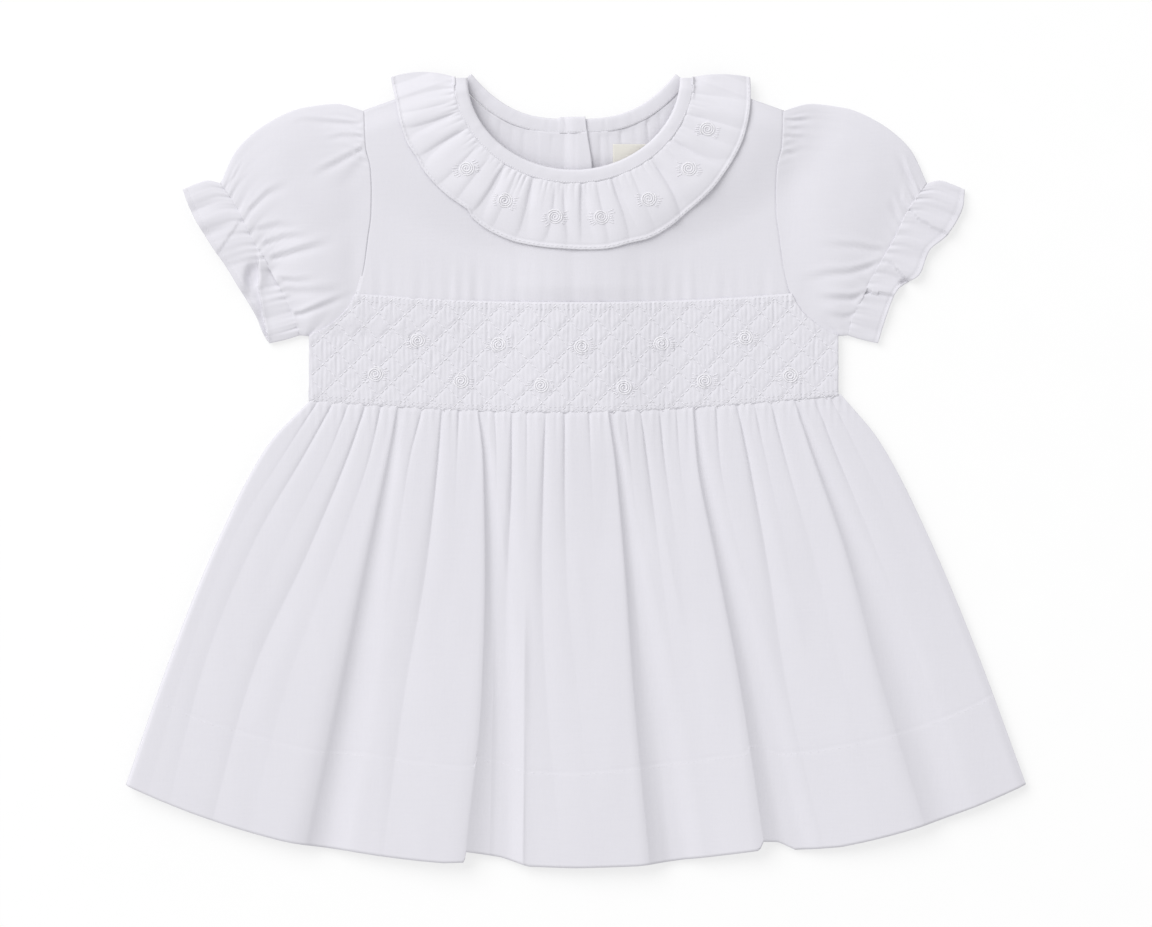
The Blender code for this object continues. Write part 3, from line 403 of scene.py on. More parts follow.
def interpolated(keys, values, at):
    """A smooth curve through the values, that never overshoots them."""
    keys, values, at = (np.asarray(numbers, float) for numbers in (keys, values, at))
    spans = np.diff(keys)
    slopes = np.diff(values) / spans
    tangents = np.zeros(len(keys))
    same = slopes[:-1] * slopes[1:] > 0
    total = np.where(same, slopes[:-1] + slopes[1:], 1)
    tangents[1:-1] = np.where(same, 2 * slopes[:-1] * slopes[1:] / total, 0)
    tangents[0], tangents[-1] = slopes[0], slopes[-1]
    i = np.clip(np.searchsorted(keys, at) - 1, 0, len(spans) - 1)
    s = np.clip((at - keys[i]) / spans[i], 0, 1)
    return (values[i] * (1 + 2 * s) * (1 - s) ** 2 + tangents[i] * spans[i] * s * (1 - s) ** 2
            + values[i + 1] * s * s * (3 - 2 * s) + tangents[i + 1] * spans[i] * s * s * (s - 1))


def along(points, share):
    """Points at shares of the length of a smooth curve through the given points."""
    points = np.asarray(points, float)
    lengths = np.concatenate(([0], np.cumsum(np.hypot(*np.diff(points, axis=0).T))))
    at = np.asarray(share, float) * lengths[-1]
    return np.stack([interpolated(lengths, points[:, axis], at) for axis in (0, 1)], -1)


def noise(x, y, seed):
    """Smooth noise from -1 to 1 with features about 1 across. Each use has a seed of its own."""
    table = np.random.RandomState(seed).uniform(-1, 1, (NOISE_CELLS, NOISE_CELLS))
    x0, y0 = np.floor(x).astype(int), np.floor(y).astype(int)
    fx, fy = ramp(x - x0, 0, 1), ramp(y - y0, 0, 1)
    left, right = x0 % NOISE_CELLS, (x0 + 1) % NOISE_CELLS
    low, high = (mix(table[left, row % NOISE_CELLS], table[right, row % NOISE_CELLS], fx)
                 for row in (y0, y0 + 1))
    return mix(low, high, fy)


def waved(z, x, y, waves, shift=0):
    """Heights with smooth waves added, each of a height, a width, a length and a seed."""
    return z + sum(height * noise(x / width, y / length, seed + shift)
                   for height, width, length, seed in waves)


def gathers(place, count, seed, sharp=0.75):
    """Uneven small pleats from 0 to 1 across a gathered edge."""
    phase = place * count + 0.45 * noise(place * count * 0.5, 0, seed)
    size = 0.7 + 0.3 * noise(place * count * 0.8, 3, seed + 1)
    return size * np.abs(np.sin(math.pi * phase)) ** sharp


def to_line(x, y, points):
    """Signed distance from a polyline, positive on its left, and the place along it from 0 to 1."""
    points = np.asarray(points, float)
    lengths = np.hypot(*np.diff(points, axis=0).T)
    best, place = np.full(np.shape(x), np.inf), np.zeros(np.shape(x))
    start = 0
    for (ax, ay), (bx, by), length in zip(points[:-1], points[1:], lengths):
        dx, dy = (bx - ax) / length, (by - ay) / length
        s = np.clip((x - ax) * dx + (y - ay) * dy, 0, length)
        away = np.hypot(x - ax - s * dx, y - ay - s * dy)
        side = np.where(dx * (y - ay) - dy * (x - ax) >= 0, 1, -1)
        closer = away < np.abs(best)
        best = np.where(closer, away * side, best)
        place = np.where(closer, (start + s) / lengths.sum(), place)
        start += length
    return best, place


def crease(x, y, points, depth, width):
    """A fold from a seam: a ridge with a valley below it, deepest at the seam and fading outwards."""
    away, place = to_line(x, y, points)
    above = away * (1 if points[-1][0] > points[0][0] else -1)
    fade = ramp(place, -0.08, 0.06) * ramp(place, 1, 0.45)
    wide = 0.62 * width * mix(0.8, 1.6, place)
    valley = bell(above, np.where(above < 0, 1.7 * wide, wide))
    ridge = bell(above - 1.7 * wide, 1.3 * wide)
    return 0.8 * fade * depth * (0.6 * ridge - valley)


def lap(x, y, points, depth, reach):
    """A layer that comes out from under the one on the left of a line."""
    away, place = to_line(x, y, points)
    fade = ramp(place, -0.1, 0.15) * ramp(place, 1.1, 0.9)
    under = np.where(away < 0, np.exp(away / reach), 0)
    over = np.where(away >= 0, bell(away, 0.6 * reach), 0)
    return fade * depth * (0.25 * over - under)


# ---- outlines ----
def armhole_reach(y):
    return interpolated(*np.array(ARMHOLE[::-1]).T, y)


def side_x(y, side):
    return CENTRE_X + side * armhole_reach(y)


def waist_y(x):
    return WAIST_LOW + WAIST_RISE * np.abs(x / CHEST_HALF) ** WAIST_POWER + WAIST_TILT * x / CHEST_HALF


def band_top_y(x):
    return BAND_TOP - BAND_TOP_SAG * (1 - ((x - CENTRE_X) / SHOULDER_REACH) ** 2)


def shoulder_y(x):
    share = (SHOULDER_REACH - np.abs(x - CENTRE_X)) / (SHOULDER_REACH - NECK_OUTER)
    return mix(SHOULDER_OUT, SHOULDER_IN, share)


def neck_point(angle, grow):
    """A point of the neck's oval, from its left end, grown outwards."""
    return (CENTRE_X - (NECK_INNER[0] + grow) * np.cos(angle),
            NECK_Y - (NECK_INNER[1] + grow) * np.sin(angle))


def back_neck_y(x):
    return BACK_NECK_LOW + BACK_NECK_RISE * (np.abs(x - CENTRE_X) / BACK_NECK_HALF) ** BACK_NECK_POWER


def hem_y(x):
    curve = HEM_LOW + HEM_CORNER_RISE * np.abs(x / HEM_HALF) ** HEM_POWER
    return curve + np.interp(x, *np.array(HEM_WAVE).T)


def lap_x(y):
    """The lapped edge of the left half of the back, which leans a little."""
    return mix(LAP_RIGHT + 0.6, LAP_TOP_X, ramp(y, 158, BACK_NECK_LOW + 9))


# ---- heights of the layers ----
def neck_zone(x, y):
    radius = np.hypot((x - CENTRE_X) / FRILL_OUTER[0], (y - NECK_Y) / FRILL_BACK_DEPTH)
    return ramp(radius, *NECK_ZONE)


def back_lift(x, y):
    return NECK_LIFT * neck_zone(x, y)


def lap_lift(y):
    return LAP_LIFT * ramp(y, *LAP_LIFT_HEIGHTS)


def lower_lap(x, y):
    far, near = LAP_REST
    return np.maximum(back_lift(x, y), lap_lift(y) * ramp(x, LAP_RIGHT + far, LAP_RIGHT + near))


def upper_lap(x, y):
    far, near = LAP_CLIMB
    above = np.maximum(back_lift(LAP_LEFT, y), lap_lift(y)) + WALL + SEAM
    return np.maximum(back_lift(x, y), above * ramp(x, LAP_LEFT - far, LAP_LEFT - near))


def front_base(x, y):
    """Underside of the front of the bodice."""
    flat_from, flat_to = LAP_LEFT - LAP_LEVEL[0], LAP_RIGHT + LAP_LEVEL[1]
    over_lap = ramp(x, flat_from - LAP_SLOPE, flat_from) * ramp(x, flat_to + LAP_SLOPE, flat_to)
    lap_top = lap_lift(y) + 2 * WALL + SEAM + LAP_FOLD
    plain = WALL + FRONT_GAP + (lap_top - WALL) * over_lap
    raised = mix(plain, WALL + FRONT_GAP + NECK_AIR, neck_zone(x, y))
    outside = np.abs(x - CENTRE_X) > NECK_OUTER
    near_shoulder = np.where(outside, ramp(shoulder_y(x) - y, SHOULDER_EASE, 0), 0)
    return mix(raised, back_lift(x, y) + WALL + FRONT_GAP, near_shoulder)


# ---- materials ----
class Nodes:
    """Adds and links the nodes of one material."""

    def __init__(self, name):
        self.material = bpy.data.materials.new(name)
        self.material.use_nodes = True
        self.tree = self.material.node_tree
        self.shader = self.tree.nodes["Principled BSDF"]
        self.coordinates = self.add("ShaderNodeTexCoord", {}).outputs["Object"]

    def fill(self, node, inputs):
        """Links sockets to a node's inputs and sets plain values on them."""
        for key, value in inputs.items():
            if isinstance(value, bpy.types.NodeSocket):
                self.tree.links.new(value, node.inputs[key])
            else:
                node.inputs[key].default_value = value

    def add(self, kind, inputs, **settings):
        node = self.tree.nodes.new(kind)
        for key, value in settings.items():
            setattr(node, key, value)
        self.fill(node, inputs)
        return node

    def math(self, operation, first, second):
        return self.add("ShaderNodeMath", {0: first, 1: second}, operation=operation).outputs[0]

    def blended(self, first, first_share, second, second_share):
        return self.math("ADD", self.math("MULTIPLY", first, first_share),
                         self.math("MULTIPLY", second, second_share))

    def slubs(self, stretch, scale=1):
        """Noise drawn out along one axis, as uneven threads are."""
        mapping = self.add("ShaderNodeMapping", {"Vector": self.coordinates, "Scale": stretch})
        return self.add("ShaderNodeTexNoise", {"Vector": mapping.outputs[0], "Scale": scale,
                                               "Detail": 2, "Roughness": 0.5}).outputs["Fac"]

    def threads(self, direction, pitch):
        """Sine bands at the pitch of the woven threads, in metres."""
        return self.add("ShaderNodeTexWave", {"Vector": self.coordinates, "Scale": BAND_SCALE / pitch,
                                              "Distortion": 0.6, "Detail": 1, "Detail Scale": 2},
                        wave_type="BANDS", bands_direction=direction).outputs["Fac"]

    def bump(self, height, strength, distance, below=None):
        inputs = {"Height": height, "Strength": strength, "Distance": distance}
        if below:
            inputs["Normal"] = below
        return self.add("ShaderNodeBump", inputs).outputs[0]

    def finish(self, factor, darkest, colour, **values):
        """Colours the surface between a darker tone and its own by a factor, and sets the other inputs."""
        dark = [channel * darkest for channel in colour]
        tone = self.add("ShaderNodeMix", {"Factor": factor, "A": (*dark, 1), "B": (*colour, 1)},
                        data_type="RGBA").outputs["Result"]
        self.fill(self.shader, {"Base Color": tone})
        self.fill(self.shader, {key.replace("_", " "): value for key, value in values.items()})
        return self.material


def woven_cotton(name, colour, weave=0.00042, slub_depth=0.00005):
    """Plain-woven cotton: crossing threads, slubs along both, and faint clouding."""
    nodes = Nodes(name)
    crossings = nodes.math("MULTIPLY", nodes.threads("X", weave), nodes.threads("Y", weave))
    uneven = nodes.math("ADD", nodes.slubs((90, 900, 90)), nodes.slubs((900, 90, 90)))
    shade = nodes.blended(uneven, 0.3, nodes.slubs(EVENLY, 28), 0.4)
    woven = nodes.bump(crossings, 0.6, WEAVE_DEPTH)
    return nodes.finish(shade, 0.955, colour, Normal=nodes.bump(uneven, 0.6, slub_depth, woven),
                        Roughness=0.88, Specular_IOR_Level=0.2, Sheen_Weight=0.12, Sheen_Roughness=0.5)


def twisted_thread(name, colour):
    """Stranded embroidery cotton: fine twist lines and a soft gloss."""
    nodes = Nodes(name)
    twist = nodes.threads("DIAGONAL", 0.0005)
    shade = nodes.blended(twist, 0.6, nodes.slubs(EVENLY, 2500), 0.4)
    return nodes.finish(shade, 0.93, colour, Normal=nodes.bump(twist, 0.5, TWIST_DEPTH), Roughness=0.55,
                        Specular_IOR_Level=0.35, Sheen_Weight=0.2)


def pearly_shell(name, colour):
    """Polished button: faint growth bands under a clear gloss."""
    nodes = Nodes(name)
    return nodes.finish(nodes.slubs((200, 900, 200)), 0.9, colour, Roughness=0.22, Coat_Weight=0.4)


# ---- mesh tools ----
def place_object(name, data):
    item = bpy.data.objects.new(name, data)
    bpy.context.scene.collection.objects.link(item)
    return item


def finish_mesh(name, mesh, material):
    mesh.materials.append(material)
    mesh.shade_smooth()
    return place_object(name, mesh)


def grid_object(name, x, y, z, material, cloth=CLOTH, tube=False):
    """A cloth shell below arrays of points, rows from low to high, columns from left to right."""
    rows, columns = x.shape
    mesh = bpy.data.meshes.new(name)
    bm = bmesh.new()
    bmesh.ops.create_grid(bm, x_segments=columns - 1, y_segments=rows - 1, size=1)
    bm.to_mesh(mesh)
    points = np.stack([x, y, z], -1).reshape(-1, 3) * MM
    mesh.vertices.foreach_set("co", points.astype(np.float32).ravel())
    if tube:
        bm.clear()
        bm.from_mesh(mesh)
        bmesh.ops.remove_doubles(bm, verts=bm.verts[:], dist=SAME_POINT)
        bmesh.ops.recalc_face_normals(bm, faces=bm.faces[:])
        bm.to_mesh(mesh)
    bm.free()
    mesh.update()
    item = finish_mesh(name, mesh, material)
    wall = item.modifiers.new("cloth", "SOLIDIFY")
    wall.thickness = cloth * MM
    wall.offset = -1
    return item


def settle(item, node, with_pieces=()):
    """Hangs a cloth from the root body and hides the solid it stands for."""
    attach(item, "root")
    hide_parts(node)


class Surface:
    """Heights of a grid of points, looked up by place."""

    def __init__(self, x, y, z):
        self.x, self.y, self.z = x.ravel(), y.ravel(), z.ravel()
        self.bins = {}
        for index, key in enumerate(zip((self.x // CELL).astype(int), (self.y // CELL).astype(int))):
            self.bins.setdefault(key, []).append(index)

    def height(self, x, y):
        """Height near a place, weighted towards the nearest points, or None off the surface."""
        i, j = int(x // CELL), int(y // CELL)
        near = [k for a in (i - 1, i, i + 1) for b in (j - 1, j, j + 1) for k in self.bins.get((a, b), ())]
        if not near:
            return None
        near = np.array(near)
        away = np.hypot(self.x[near] - x, self.y[near] - y)
        best = np.argsort(away)[:4]
        weights = 1 / (away[best] + 0.05) ** 2
        return float((self.z[near][best] * weights).sum() / weights.sum())


class Threads:
    """Collects stitched threads and makes one mesh of them."""

    def __init__(self, sides=5):
        self.sides = sides
        self.points, self.faces = [], []

    def strand(self, path, radius, beads=0, bead_pitch=1.6, flatten=0.8):
        """A thread along a path of (x, y, z); beads swell and pinch it as small stitches do."""
        path = np.asarray(path, float)
        tangents = np.gradient(path, axis=0)
        tangents /= np.linalg.norm(tangents, axis=1, keepdims=True) + 1e-9
        sideways = np.stack([-tangents[:, 1], tangents[:, 0], np.zeros(len(path))], -1)
        sideways /= np.linalg.norm(sideways, axis=1, keepdims=True) + 1e-9
        upward = np.cross(tangents, sideways)
        length = np.concatenate(([0], np.cumsum(np.linalg.norm(np.diff(path, axis=0), axis=1))))
        swell = radius * (1 - beads + beads * np.abs(np.sin(math.pi * length / bead_pitch)))
        swell[0] *= THREAD_TIP
        swell[-1] *= THREAD_TIP
        sides, first = self.sides, len(self.points)
        for centre, side, up, size in zip(path, sideways, upward, swell):
            for k in range(sides):
                turn = math.tau * k / sides
                offset = side * math.cos(turn) * size + up * math.sin(turn) * size * flatten
                self.points.append(tuple((centre + offset) * MM))
        last = first + (len(path) - 1) * sides
        for ring in range(first, last, sides):
            for k in range(sides):
                a, b = ring + k, ring + (k + 1) % sides
                self.faces.append((a, b, b + sides, a + sides))
        self.faces.append(tuple(first + k for k in reversed(range(sides))))
        self.faces.append(tuple(last + k for k in range(sides)))

    def stitch(self, surface, start, end, radius, arch, spans=3):
        """One short straight stitch, arched over the cloth."""
        path = []
        for i in range(spans + 1):
            share = i / spans
            x, y = mix(start[0], end[0], share), mix(start[1], end[1], share)
            height = surface.height(x, y)
            if height is None:
                return
            path.append((x, y, height + arch * math.sin(math.pi * share) + radius * 0.15))
        self.strand(path, radius)

    def row(self, surface, x, y, step, radius):
        """Stitches along a line of points, each over two steps of every three."""
        for k in range(0, len(x) - 3 * step, 3 * step):
            end = k + 2 * step
            self.stitch(surface, (x[k], y[k]), (x[end], y[end]), radius, 0.05)

    def rosebud(self, surface, x, y, size, seed):
        """Bullion rosebud: a coiled thread, low on the cloth, with leaf stitches on both sides."""
        draw = np.random.RandomState(seed)
        first_turn = draw.uniform(0, math.tau)
        path = []
        for share in (i / BUD_STEPS for i in range(BUD_STEPS + 1)):
            turn = first_turn + math.tau * BUD_TURNS * share
            radius = size * mix(0.06, 1, share ** 0.85)
            px, py = x + radius * math.cos(turn), y + radius * 0.95 * math.sin(turn)
            path.append((px, py, surface.height(px, py) + mix(*BUD_HEIGHTS, share)))
        self.strand(path, size * 0.115, beads=0.25, bead_pitch=0.8, flatten=0.55)
        for side in (-1, 1):
            middle = draw.uniform(-0.45, 0.35)
            for lean in middle + np.array(LEAF_LEANS) * draw.uniform(0.8, 1.1, len(LEAF_LEANS)):
                near, far = size * 1.10, size * draw.uniform(1.45, 1.9)
                root = (x + side * near * math.cos(lean), y + near * math.sin(lean))
                tip = (x + side * far * math.cos(0.85 * lean), y + far * math.sin(0.85 * lean))
                self.stitch(surface, root, tip, size * 0.06, 0.08, spans=5)

    def make(self, name, material):
        mesh = bpy.data.meshes.new(name)
        mesh.from_pydata(self.points, [], self.faces)
        item = finish_mesh(name, mesh, material)
        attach(item, "root")
        return item


# ---- skirt ----
def skirt_columns(t):
    """Columns of points down the skirt at stations t, close together beside the valleys."""
    left_side, right_side = ([side * mix(CHEST_HALF, HEM_HALF, station ** power) for station in FOLD_STATIONS]
                             for side, power in zip((-1, 1), SKIRT_SIDE_POWER))
    lines = [interpolated(FOLD_STATIONS, places, t)
             for places in [left_side, *(places for places, _ in SKIRT_FOLDS), right_side]]
    columns = []
    for left, right in zip(lines[:-1], lines[1:]):
        width = right - left
        scale = np.minimum(1, width / COLUMNS_FIT)
        after = [offset * scale for offset in COLUMNS_AFTER]
        before = [width - offset * scale for offset in COLUMNS_BEFORE]
        between = [mix(after[-1], before[0], share) for share in (0.25, 0.5, 0.75)]
        columns += [left + offset for offset in after + between + before]
    columns.append(lines[-1])
    return np.array(columns).T


def main_fold(dx, tt, widths, early, reach):
    """Fall and rise of the cloth across a main fold: 0 away from it, 1 in its valley."""
    width = interpolated(FOLD_STATIONS, widths, tt)
    before = early * np.clip(1 + dx / (reach * width), 0, 1) ** 2
    fall = 1 - (1 - early) * np.clip(1 - dx / width, 0, 1) ** 2
    spread = ramp(tt, 0, 0.8)
    rise = sum(share * ramp(dx, 0.8 * width, 0.8 * width + mix(2.5, far, spread)) for share, far in FOLD_RISE)
    return np.where(dx < 0, before, fall - rise)


def skirt_relief(x, y, tt):
    """Lift of the front of the skirt: folds, pressed ridges and slow waves."""
    lift = interpolated(*SKIRT_LEVEL, tt) + 0 * x
    for places, depths in SKIRT_FOLDS:
        depth = interpolated(FOLD_STATIONS, depths, tt)
        dx = x - interpolated(FOLD_STATIONS, places, tt)
        if places[0] in MAIN_FOLDS:
            share, reach = FOLD_CREST
            crest = share * depth * ramp(np.abs(dx), mix(3, reach, ramp(tt, 0, 0.8)), 0)
            lift += crest - (1 + share) * depth * main_fold(dx, tt, *MAIN_FOLDS[places[0]])
        else:
            left, right = (mix(*ends, ramp(tt, 0, 0.55)) for ends in PLAIN_REACH)
            reach = np.where(dx < 0, left, right)
            lift -= depth * np.exp(-(np.abs(dx) / reach) ** 1.3)
    for start, end, height, (left, right) in SKIRT_RIDGES:
        away, place = to_line(x, y, (start, end))
        fade = ramp(place, 0, 0.3) * ramp(place, 1, 0.7 if end[1] > HEM_ZONE else 0.999)
        lift += height * fade * np.exp(-np.abs(away) / np.where(away < 0, left, right))
    lift += 0.35 * noise(x / 60 + 7, y / 80, 8) * ramp(tt, 0.1, 0.45)
    lift += 0.10 * noise(x / 9, y / 40, 9) * ramp(tt, 0, 0.2)
    above_back = 0.5 * (lift + np.sqrt(lift * lift + 0.25))
    from_left, from_right = x - x[:, :1], x[:, -1:] - x
    edge = mix(0.3, 1, np.minimum(ramp(from_left, 0, 1.4), ramp(from_right, 0, 3.5)))
    return np.maximum(above_back, LEAST_LIFT) * edge * mix(0.40, 1, ramp(from_right, 0, 42))


def make_skirt(material, thread):
    """Front and back of the skirt, gathered at the waist, with a deep turned hem."""
    t = steps(0, (0.1, 24), (0.735, 54), (0.812, 22), (1, 30))
    tt = t[:, None]
    x = skirt_columns(t)
    y = mix(waist_y(x[:1]) + SEAM_TUCK, hem_y(x[-1:]), tt)
    lift = skirt_relief(x, y, tt)
    # pleats are rounded where they leave the seam
    head = 0.30 * np.sin(math.tau * x / 4.3 + 2.5 * noise(x / 8, 0.5, 11))
    lift = np.maximum(lift + head * np.exp(-tt / 0.035) * ramp(tt, 0, 0.01), LEAST_LIFT)
    from_hem = y - y[-1:]
    stitched = HEM_DEPTH - 3 * ramp(np.abs(x), 100, 200) + 0.9 * noise(x / 35, 0, 21)
    hem = ramp(from_hem, stitched + 0.9, stitched - 0.3)
    draw = 0.08 * bell(from_hem - stitched - 1.2, 1.1) * (1 + 0.7 * noise(x / 7, 0, 22))
    resting = mix(front_base(x, BAND_TOP) + SEAM_HEIGHT, 2 * WALL + FLOOR_GAP, ramp(tt, 0, 0.32))
    z = resting + lift + 0.08 * hem - draw
    front = grid_object("skirt_front_cloth", x[::-1], y[::-1], z[::-1], material)

    few = (slice(None, None, -4), slice(None, None, 2))
    under = np.maximum(0, BACK_FOLLOWS * (lift - BACK_STARTS)) + WALL
    back = grid_object("skirt_back_cloth", x[few], np.minimum(y, waist_y(x))[few], under[few], material,
                       cloth=WALL)

    threads = Threads()
    surface = Surface(x, y, z)
    for index in range(2, x.shape[1] - 2, 2):
        row = int(np.argmin(np.abs(from_hem[:, index] - stitched[:, index])))
        here, there = ((x[row, column], y[row, column]) for column in (index, index + 1))
        if there[0] - here[0] < LONGEST_STITCH:
            threads.stitch(surface, here, there, HEM_THREAD, 0.04)
    stitches = threads.make("hem_stitches", thread)
    settle(front, "skirt_front", with_pieces=[stitches])
    settle(back, "skirt_back")


# ---- bodice ----
def make_yoke(material):
    """Front yoke, plain, with the softest of waves."""
    shoulder = np.linspace(SHOULDER_REACH, NECK_OUTER + 0.3, 22)
    nx, ny = neck_point(np.linspace(0, math.pi, 82)[1:-1], BINDING_WIDTH + 0.1)
    left_top, right_top = CENTRE_X - shoulder, CENTRE_X + shoulder[::-1]
    top_x = np.concatenate([left_top, nx, right_top])
    top_y = np.concatenate([shoulder_y(left_top), ny, shoulder_y(right_top)])
    left, right = side_x(top_y, -1), side_x(top_y, 1)
    u = (top_x - left) / (right - left)
    v = steps(0, (0.05, 9), (1, 62))[:, None]
    foot_x = mix(side_x(BAND_TOP, -1), side_x(BAND_TOP, 1), u)
    y = mix(band_top_y(foot_x) - SEAM_TUCK, top_y, v)
    x = mix(side_x(y, -1), side_x(y, 1), u)
    edge = np.minimum(x - side_x(y, -1), side_x(y, 1) - x)
    z = front_base(x, y) + WALL + ramp(edge, 0, 14) * waved(0, x, y, YOKE_WAVES)
    for place, depth in YOKE_CREASES:
        z -= depth * bell(x - place, 4.5) * ramp(y, 150, 112)
    # soft pleats that carry on up from the smocking
    low = ramp(y, 118, 90)
    z = z + 0.42 * low * noise(x / 5.2, y / 60, 33) + 0.2 * low * np.sin(math.tau * x / 7.3)
    # the seams pull the edges down a little
    tucked = np.exp(-(np.maximum(y - band_top_y(x) + SEAM_TUCK, 0) / 1.3) ** 1.5)
    z = z - 0.1 * np.exp(-np.maximum(edge, 0)) - 0.25 * tucked
    settle(grid_object("yoke_cloth", x, y, z, material), "bodice_front_yoke")


def band_place(u, v):
    foot = waist_y(mix(-CHEST_HALF, CHEST_HALF, u)) - 0.1
    top = band_top_y(mix(side_x(BAND_TOP, -1), side_x(BAND_TOP, 1), u))
    y = mix(foot, top, v)
    return mix(side_x(y, -1), side_x(y, 1), u), y


def band_height(x, y):
    """Relief of the smocking: gathered pleats that puff out between the diagonal rows of stitches."""
    across = x / DIAMOND + DIAMOND_SHIFT[0]
    up = (y - waist_y(x)) / (band_top_y(x) - waist_y(x)) * DIAMOND_ROWS + DIAMOND_SHIFT[1]
    near = np.minimum(*(np.abs(phase - np.round(phase)) for phase in (across + up, across - up)))
    puff = ramp(near, 0, 0.18)
    wobble = 0.22 * noise(x / 7, y / 9, 41)
    fine = np.abs(np.sin(math.pi * (across * FINE_PLEATS + wobble))) ** 0.8
    uneven = noise(x / 4, y / 11, 42)
    middle = np.abs(2 * across - np.round(2 * across)) * 0.5 * DIAMOND
    valley = bell(middle, 0.9) * ramp(uneven, -0.4, 0.6)
    height = 0.34 + 0.21 * puff + (0.16 + 0.14 * puff) * fine * (1 + 0.5 * uneven) - 0.34 * valley * puff
    return waved(height, x, y, BAND_WAVES)


def trellis_stitches(threads, surface, left, right):
    """Stitches along both diagonals of the smocking, and along its top and its foot."""
    pleat = DIAMOND / FINE_PLEATS
    half = 0.42 * pleat
    rise = half * 0.8

    def inside(px, py):
        return abs(px - CENTRE_X) < armhole_reach(py) - 1

    for lean, radius in TRELLIS_THREADS:
        for line in range(-14, 15):
            for step in np.arange(0, DIAMOND_ROWS, 1 / FINE_PLEATS):
                # whole numbers of the phase lie on the line
                px = (line - lean * (step + DIAMOND_SHIFT[1]) - DIAMOND_SHIFT[0]) * DIAMOND
                py = mix(float(waist_y(px)), float(band_top_y(px)), step / DIAMOND_ROWS)
                if left < px < right and inside(px, py):
                    threads.stitch(surface, (px + lean * half, py - rise), (px - lean * half, py + rise),
                                   radius, 0.06)
    for depth, at_top in EDGE_ROWS:
        px = left
        while px < right:
            py = float(band_top_y(px)) - depth if at_top else float(waist_y(px)) + depth
            if inside(px, py):
                threads.stitch(surface, (px, py - 0.25), (px + 1.5, py + 0.25), EDGE_THREAD, 0.03)
            px += pleat


def rosebuds(name, surface, places, size, seed, thread):
    buds = Threads(sides=6)
    for number, (x, y) in enumerate(places):
        buds.rosebud(surface, x, y, size, seed + number)
    return buds.make(name, thread)


def make_band(material, thread):
    """Smocked band with its trellis of small stitches and two rows of rosebuds."""
    u, v = unit_grid(*BAND_GRID)
    x, y = band_place(u, v)
    from_seam = np.minimum(v, 1 - v) * (BAND_TOP - WAIST_LOW)
    at_seam = np.where(v < 0.5, *BAND_EDGES)
    z = front_base(x, BAND_TOP) + mix(at_seam, WALL + band_height(x, y), ramp(from_seam, 0, 1.6))
    band = grid_object("smocked_band_cloth", x, y, z, material)
    surface = Surface(x, y, z)
    threads = Threads()
    trellis_stitches(threads, surface, CENTRE_X - CHEST_HALF + 1.5, CENTRE_X + CHEST_HALF - 1.5)
    trellis = threads.make("smocking_stitches", thread)
    buds = rosebuds("band_rosebuds", surface, BAND_ROSES, BUD_SIZES[0], 100, thread)
    settle(band, "smocked_band", with_pieces=[trellis, buds])


def make_back_half(side, word, lap_edge, under, material):
    """One half of the back of the bodice; its inner face shows inside the neck."""
    shoulder = CENTRE_X + side * np.linspace(SHOULDER_REACH, NECK_OUTER + 0.3, 16)
    neck_x = np.linspace(CENTRE_X + side * BACK_NECK_END, lap_edge, 90)
    top_x = np.concatenate([shoulder, neck_x])
    top_y = np.concatenate([shoulder_y(shoulder) - 0.2, back_neck_y(neck_x) + SEAM_TUCK])
    u = (top_x - side_x(top_y, side)) / (lap_edge - side_x(top_y, side))
    v = steps(0, (0.6, 16), (1, 46))[:, None]
    y = mix(waist_y(mix(side * CHEST_HALF, lap_edge, u)) + 0.3, top_y, v)
    x = mix(side_x(y, side), lap_x(y) if side < 0 else lap_edge, u)
    z = under(x, y) + WALL
    below = np.maximum(back_neck_y(x) - y, 0)
    for place, depth, length in BACK_GATHERS:
        away = x - place - 0.06 * below * np.sign(place)
        reach = np.where(away < 0, 0.9, 2)
        z -= depth * np.exp(-np.abs(away) / reach - (below / length) ** 2) * ramp(below, -0.5, 2.5)
    z += waved(0, x, y, BACK_WAVES, side) * np.exp(-below / 40)
    if side < 0:
        strip = ramp(x, LAP_LEFT - 0.4, LAP_LEFT + 0.4)
        z += LAP_FOLD * strip + 0.25 * ramp(x, FACING_X - 0.3, FACING_X + 0.3) * (1 - strip)
    else:
        beside = ramp(x, lap_x(y) + 26, lap_x(y) + 2) * ramp(y, 156, 168)
        dip = bell(x - lap_x(y) - 4, 2) * ramp(y, 178, 160) * ramp(y, 98, 112)
        z += 0.9 * beside - 0.5 * dip
    x, y, z = (values[:, ::-side] for values in (x, y, z))
    item = grid_object(f"bodice_back_{word}_cloth", x, y, z, material, cloth=1)
    settle(item, f"bodice_back_{word}")


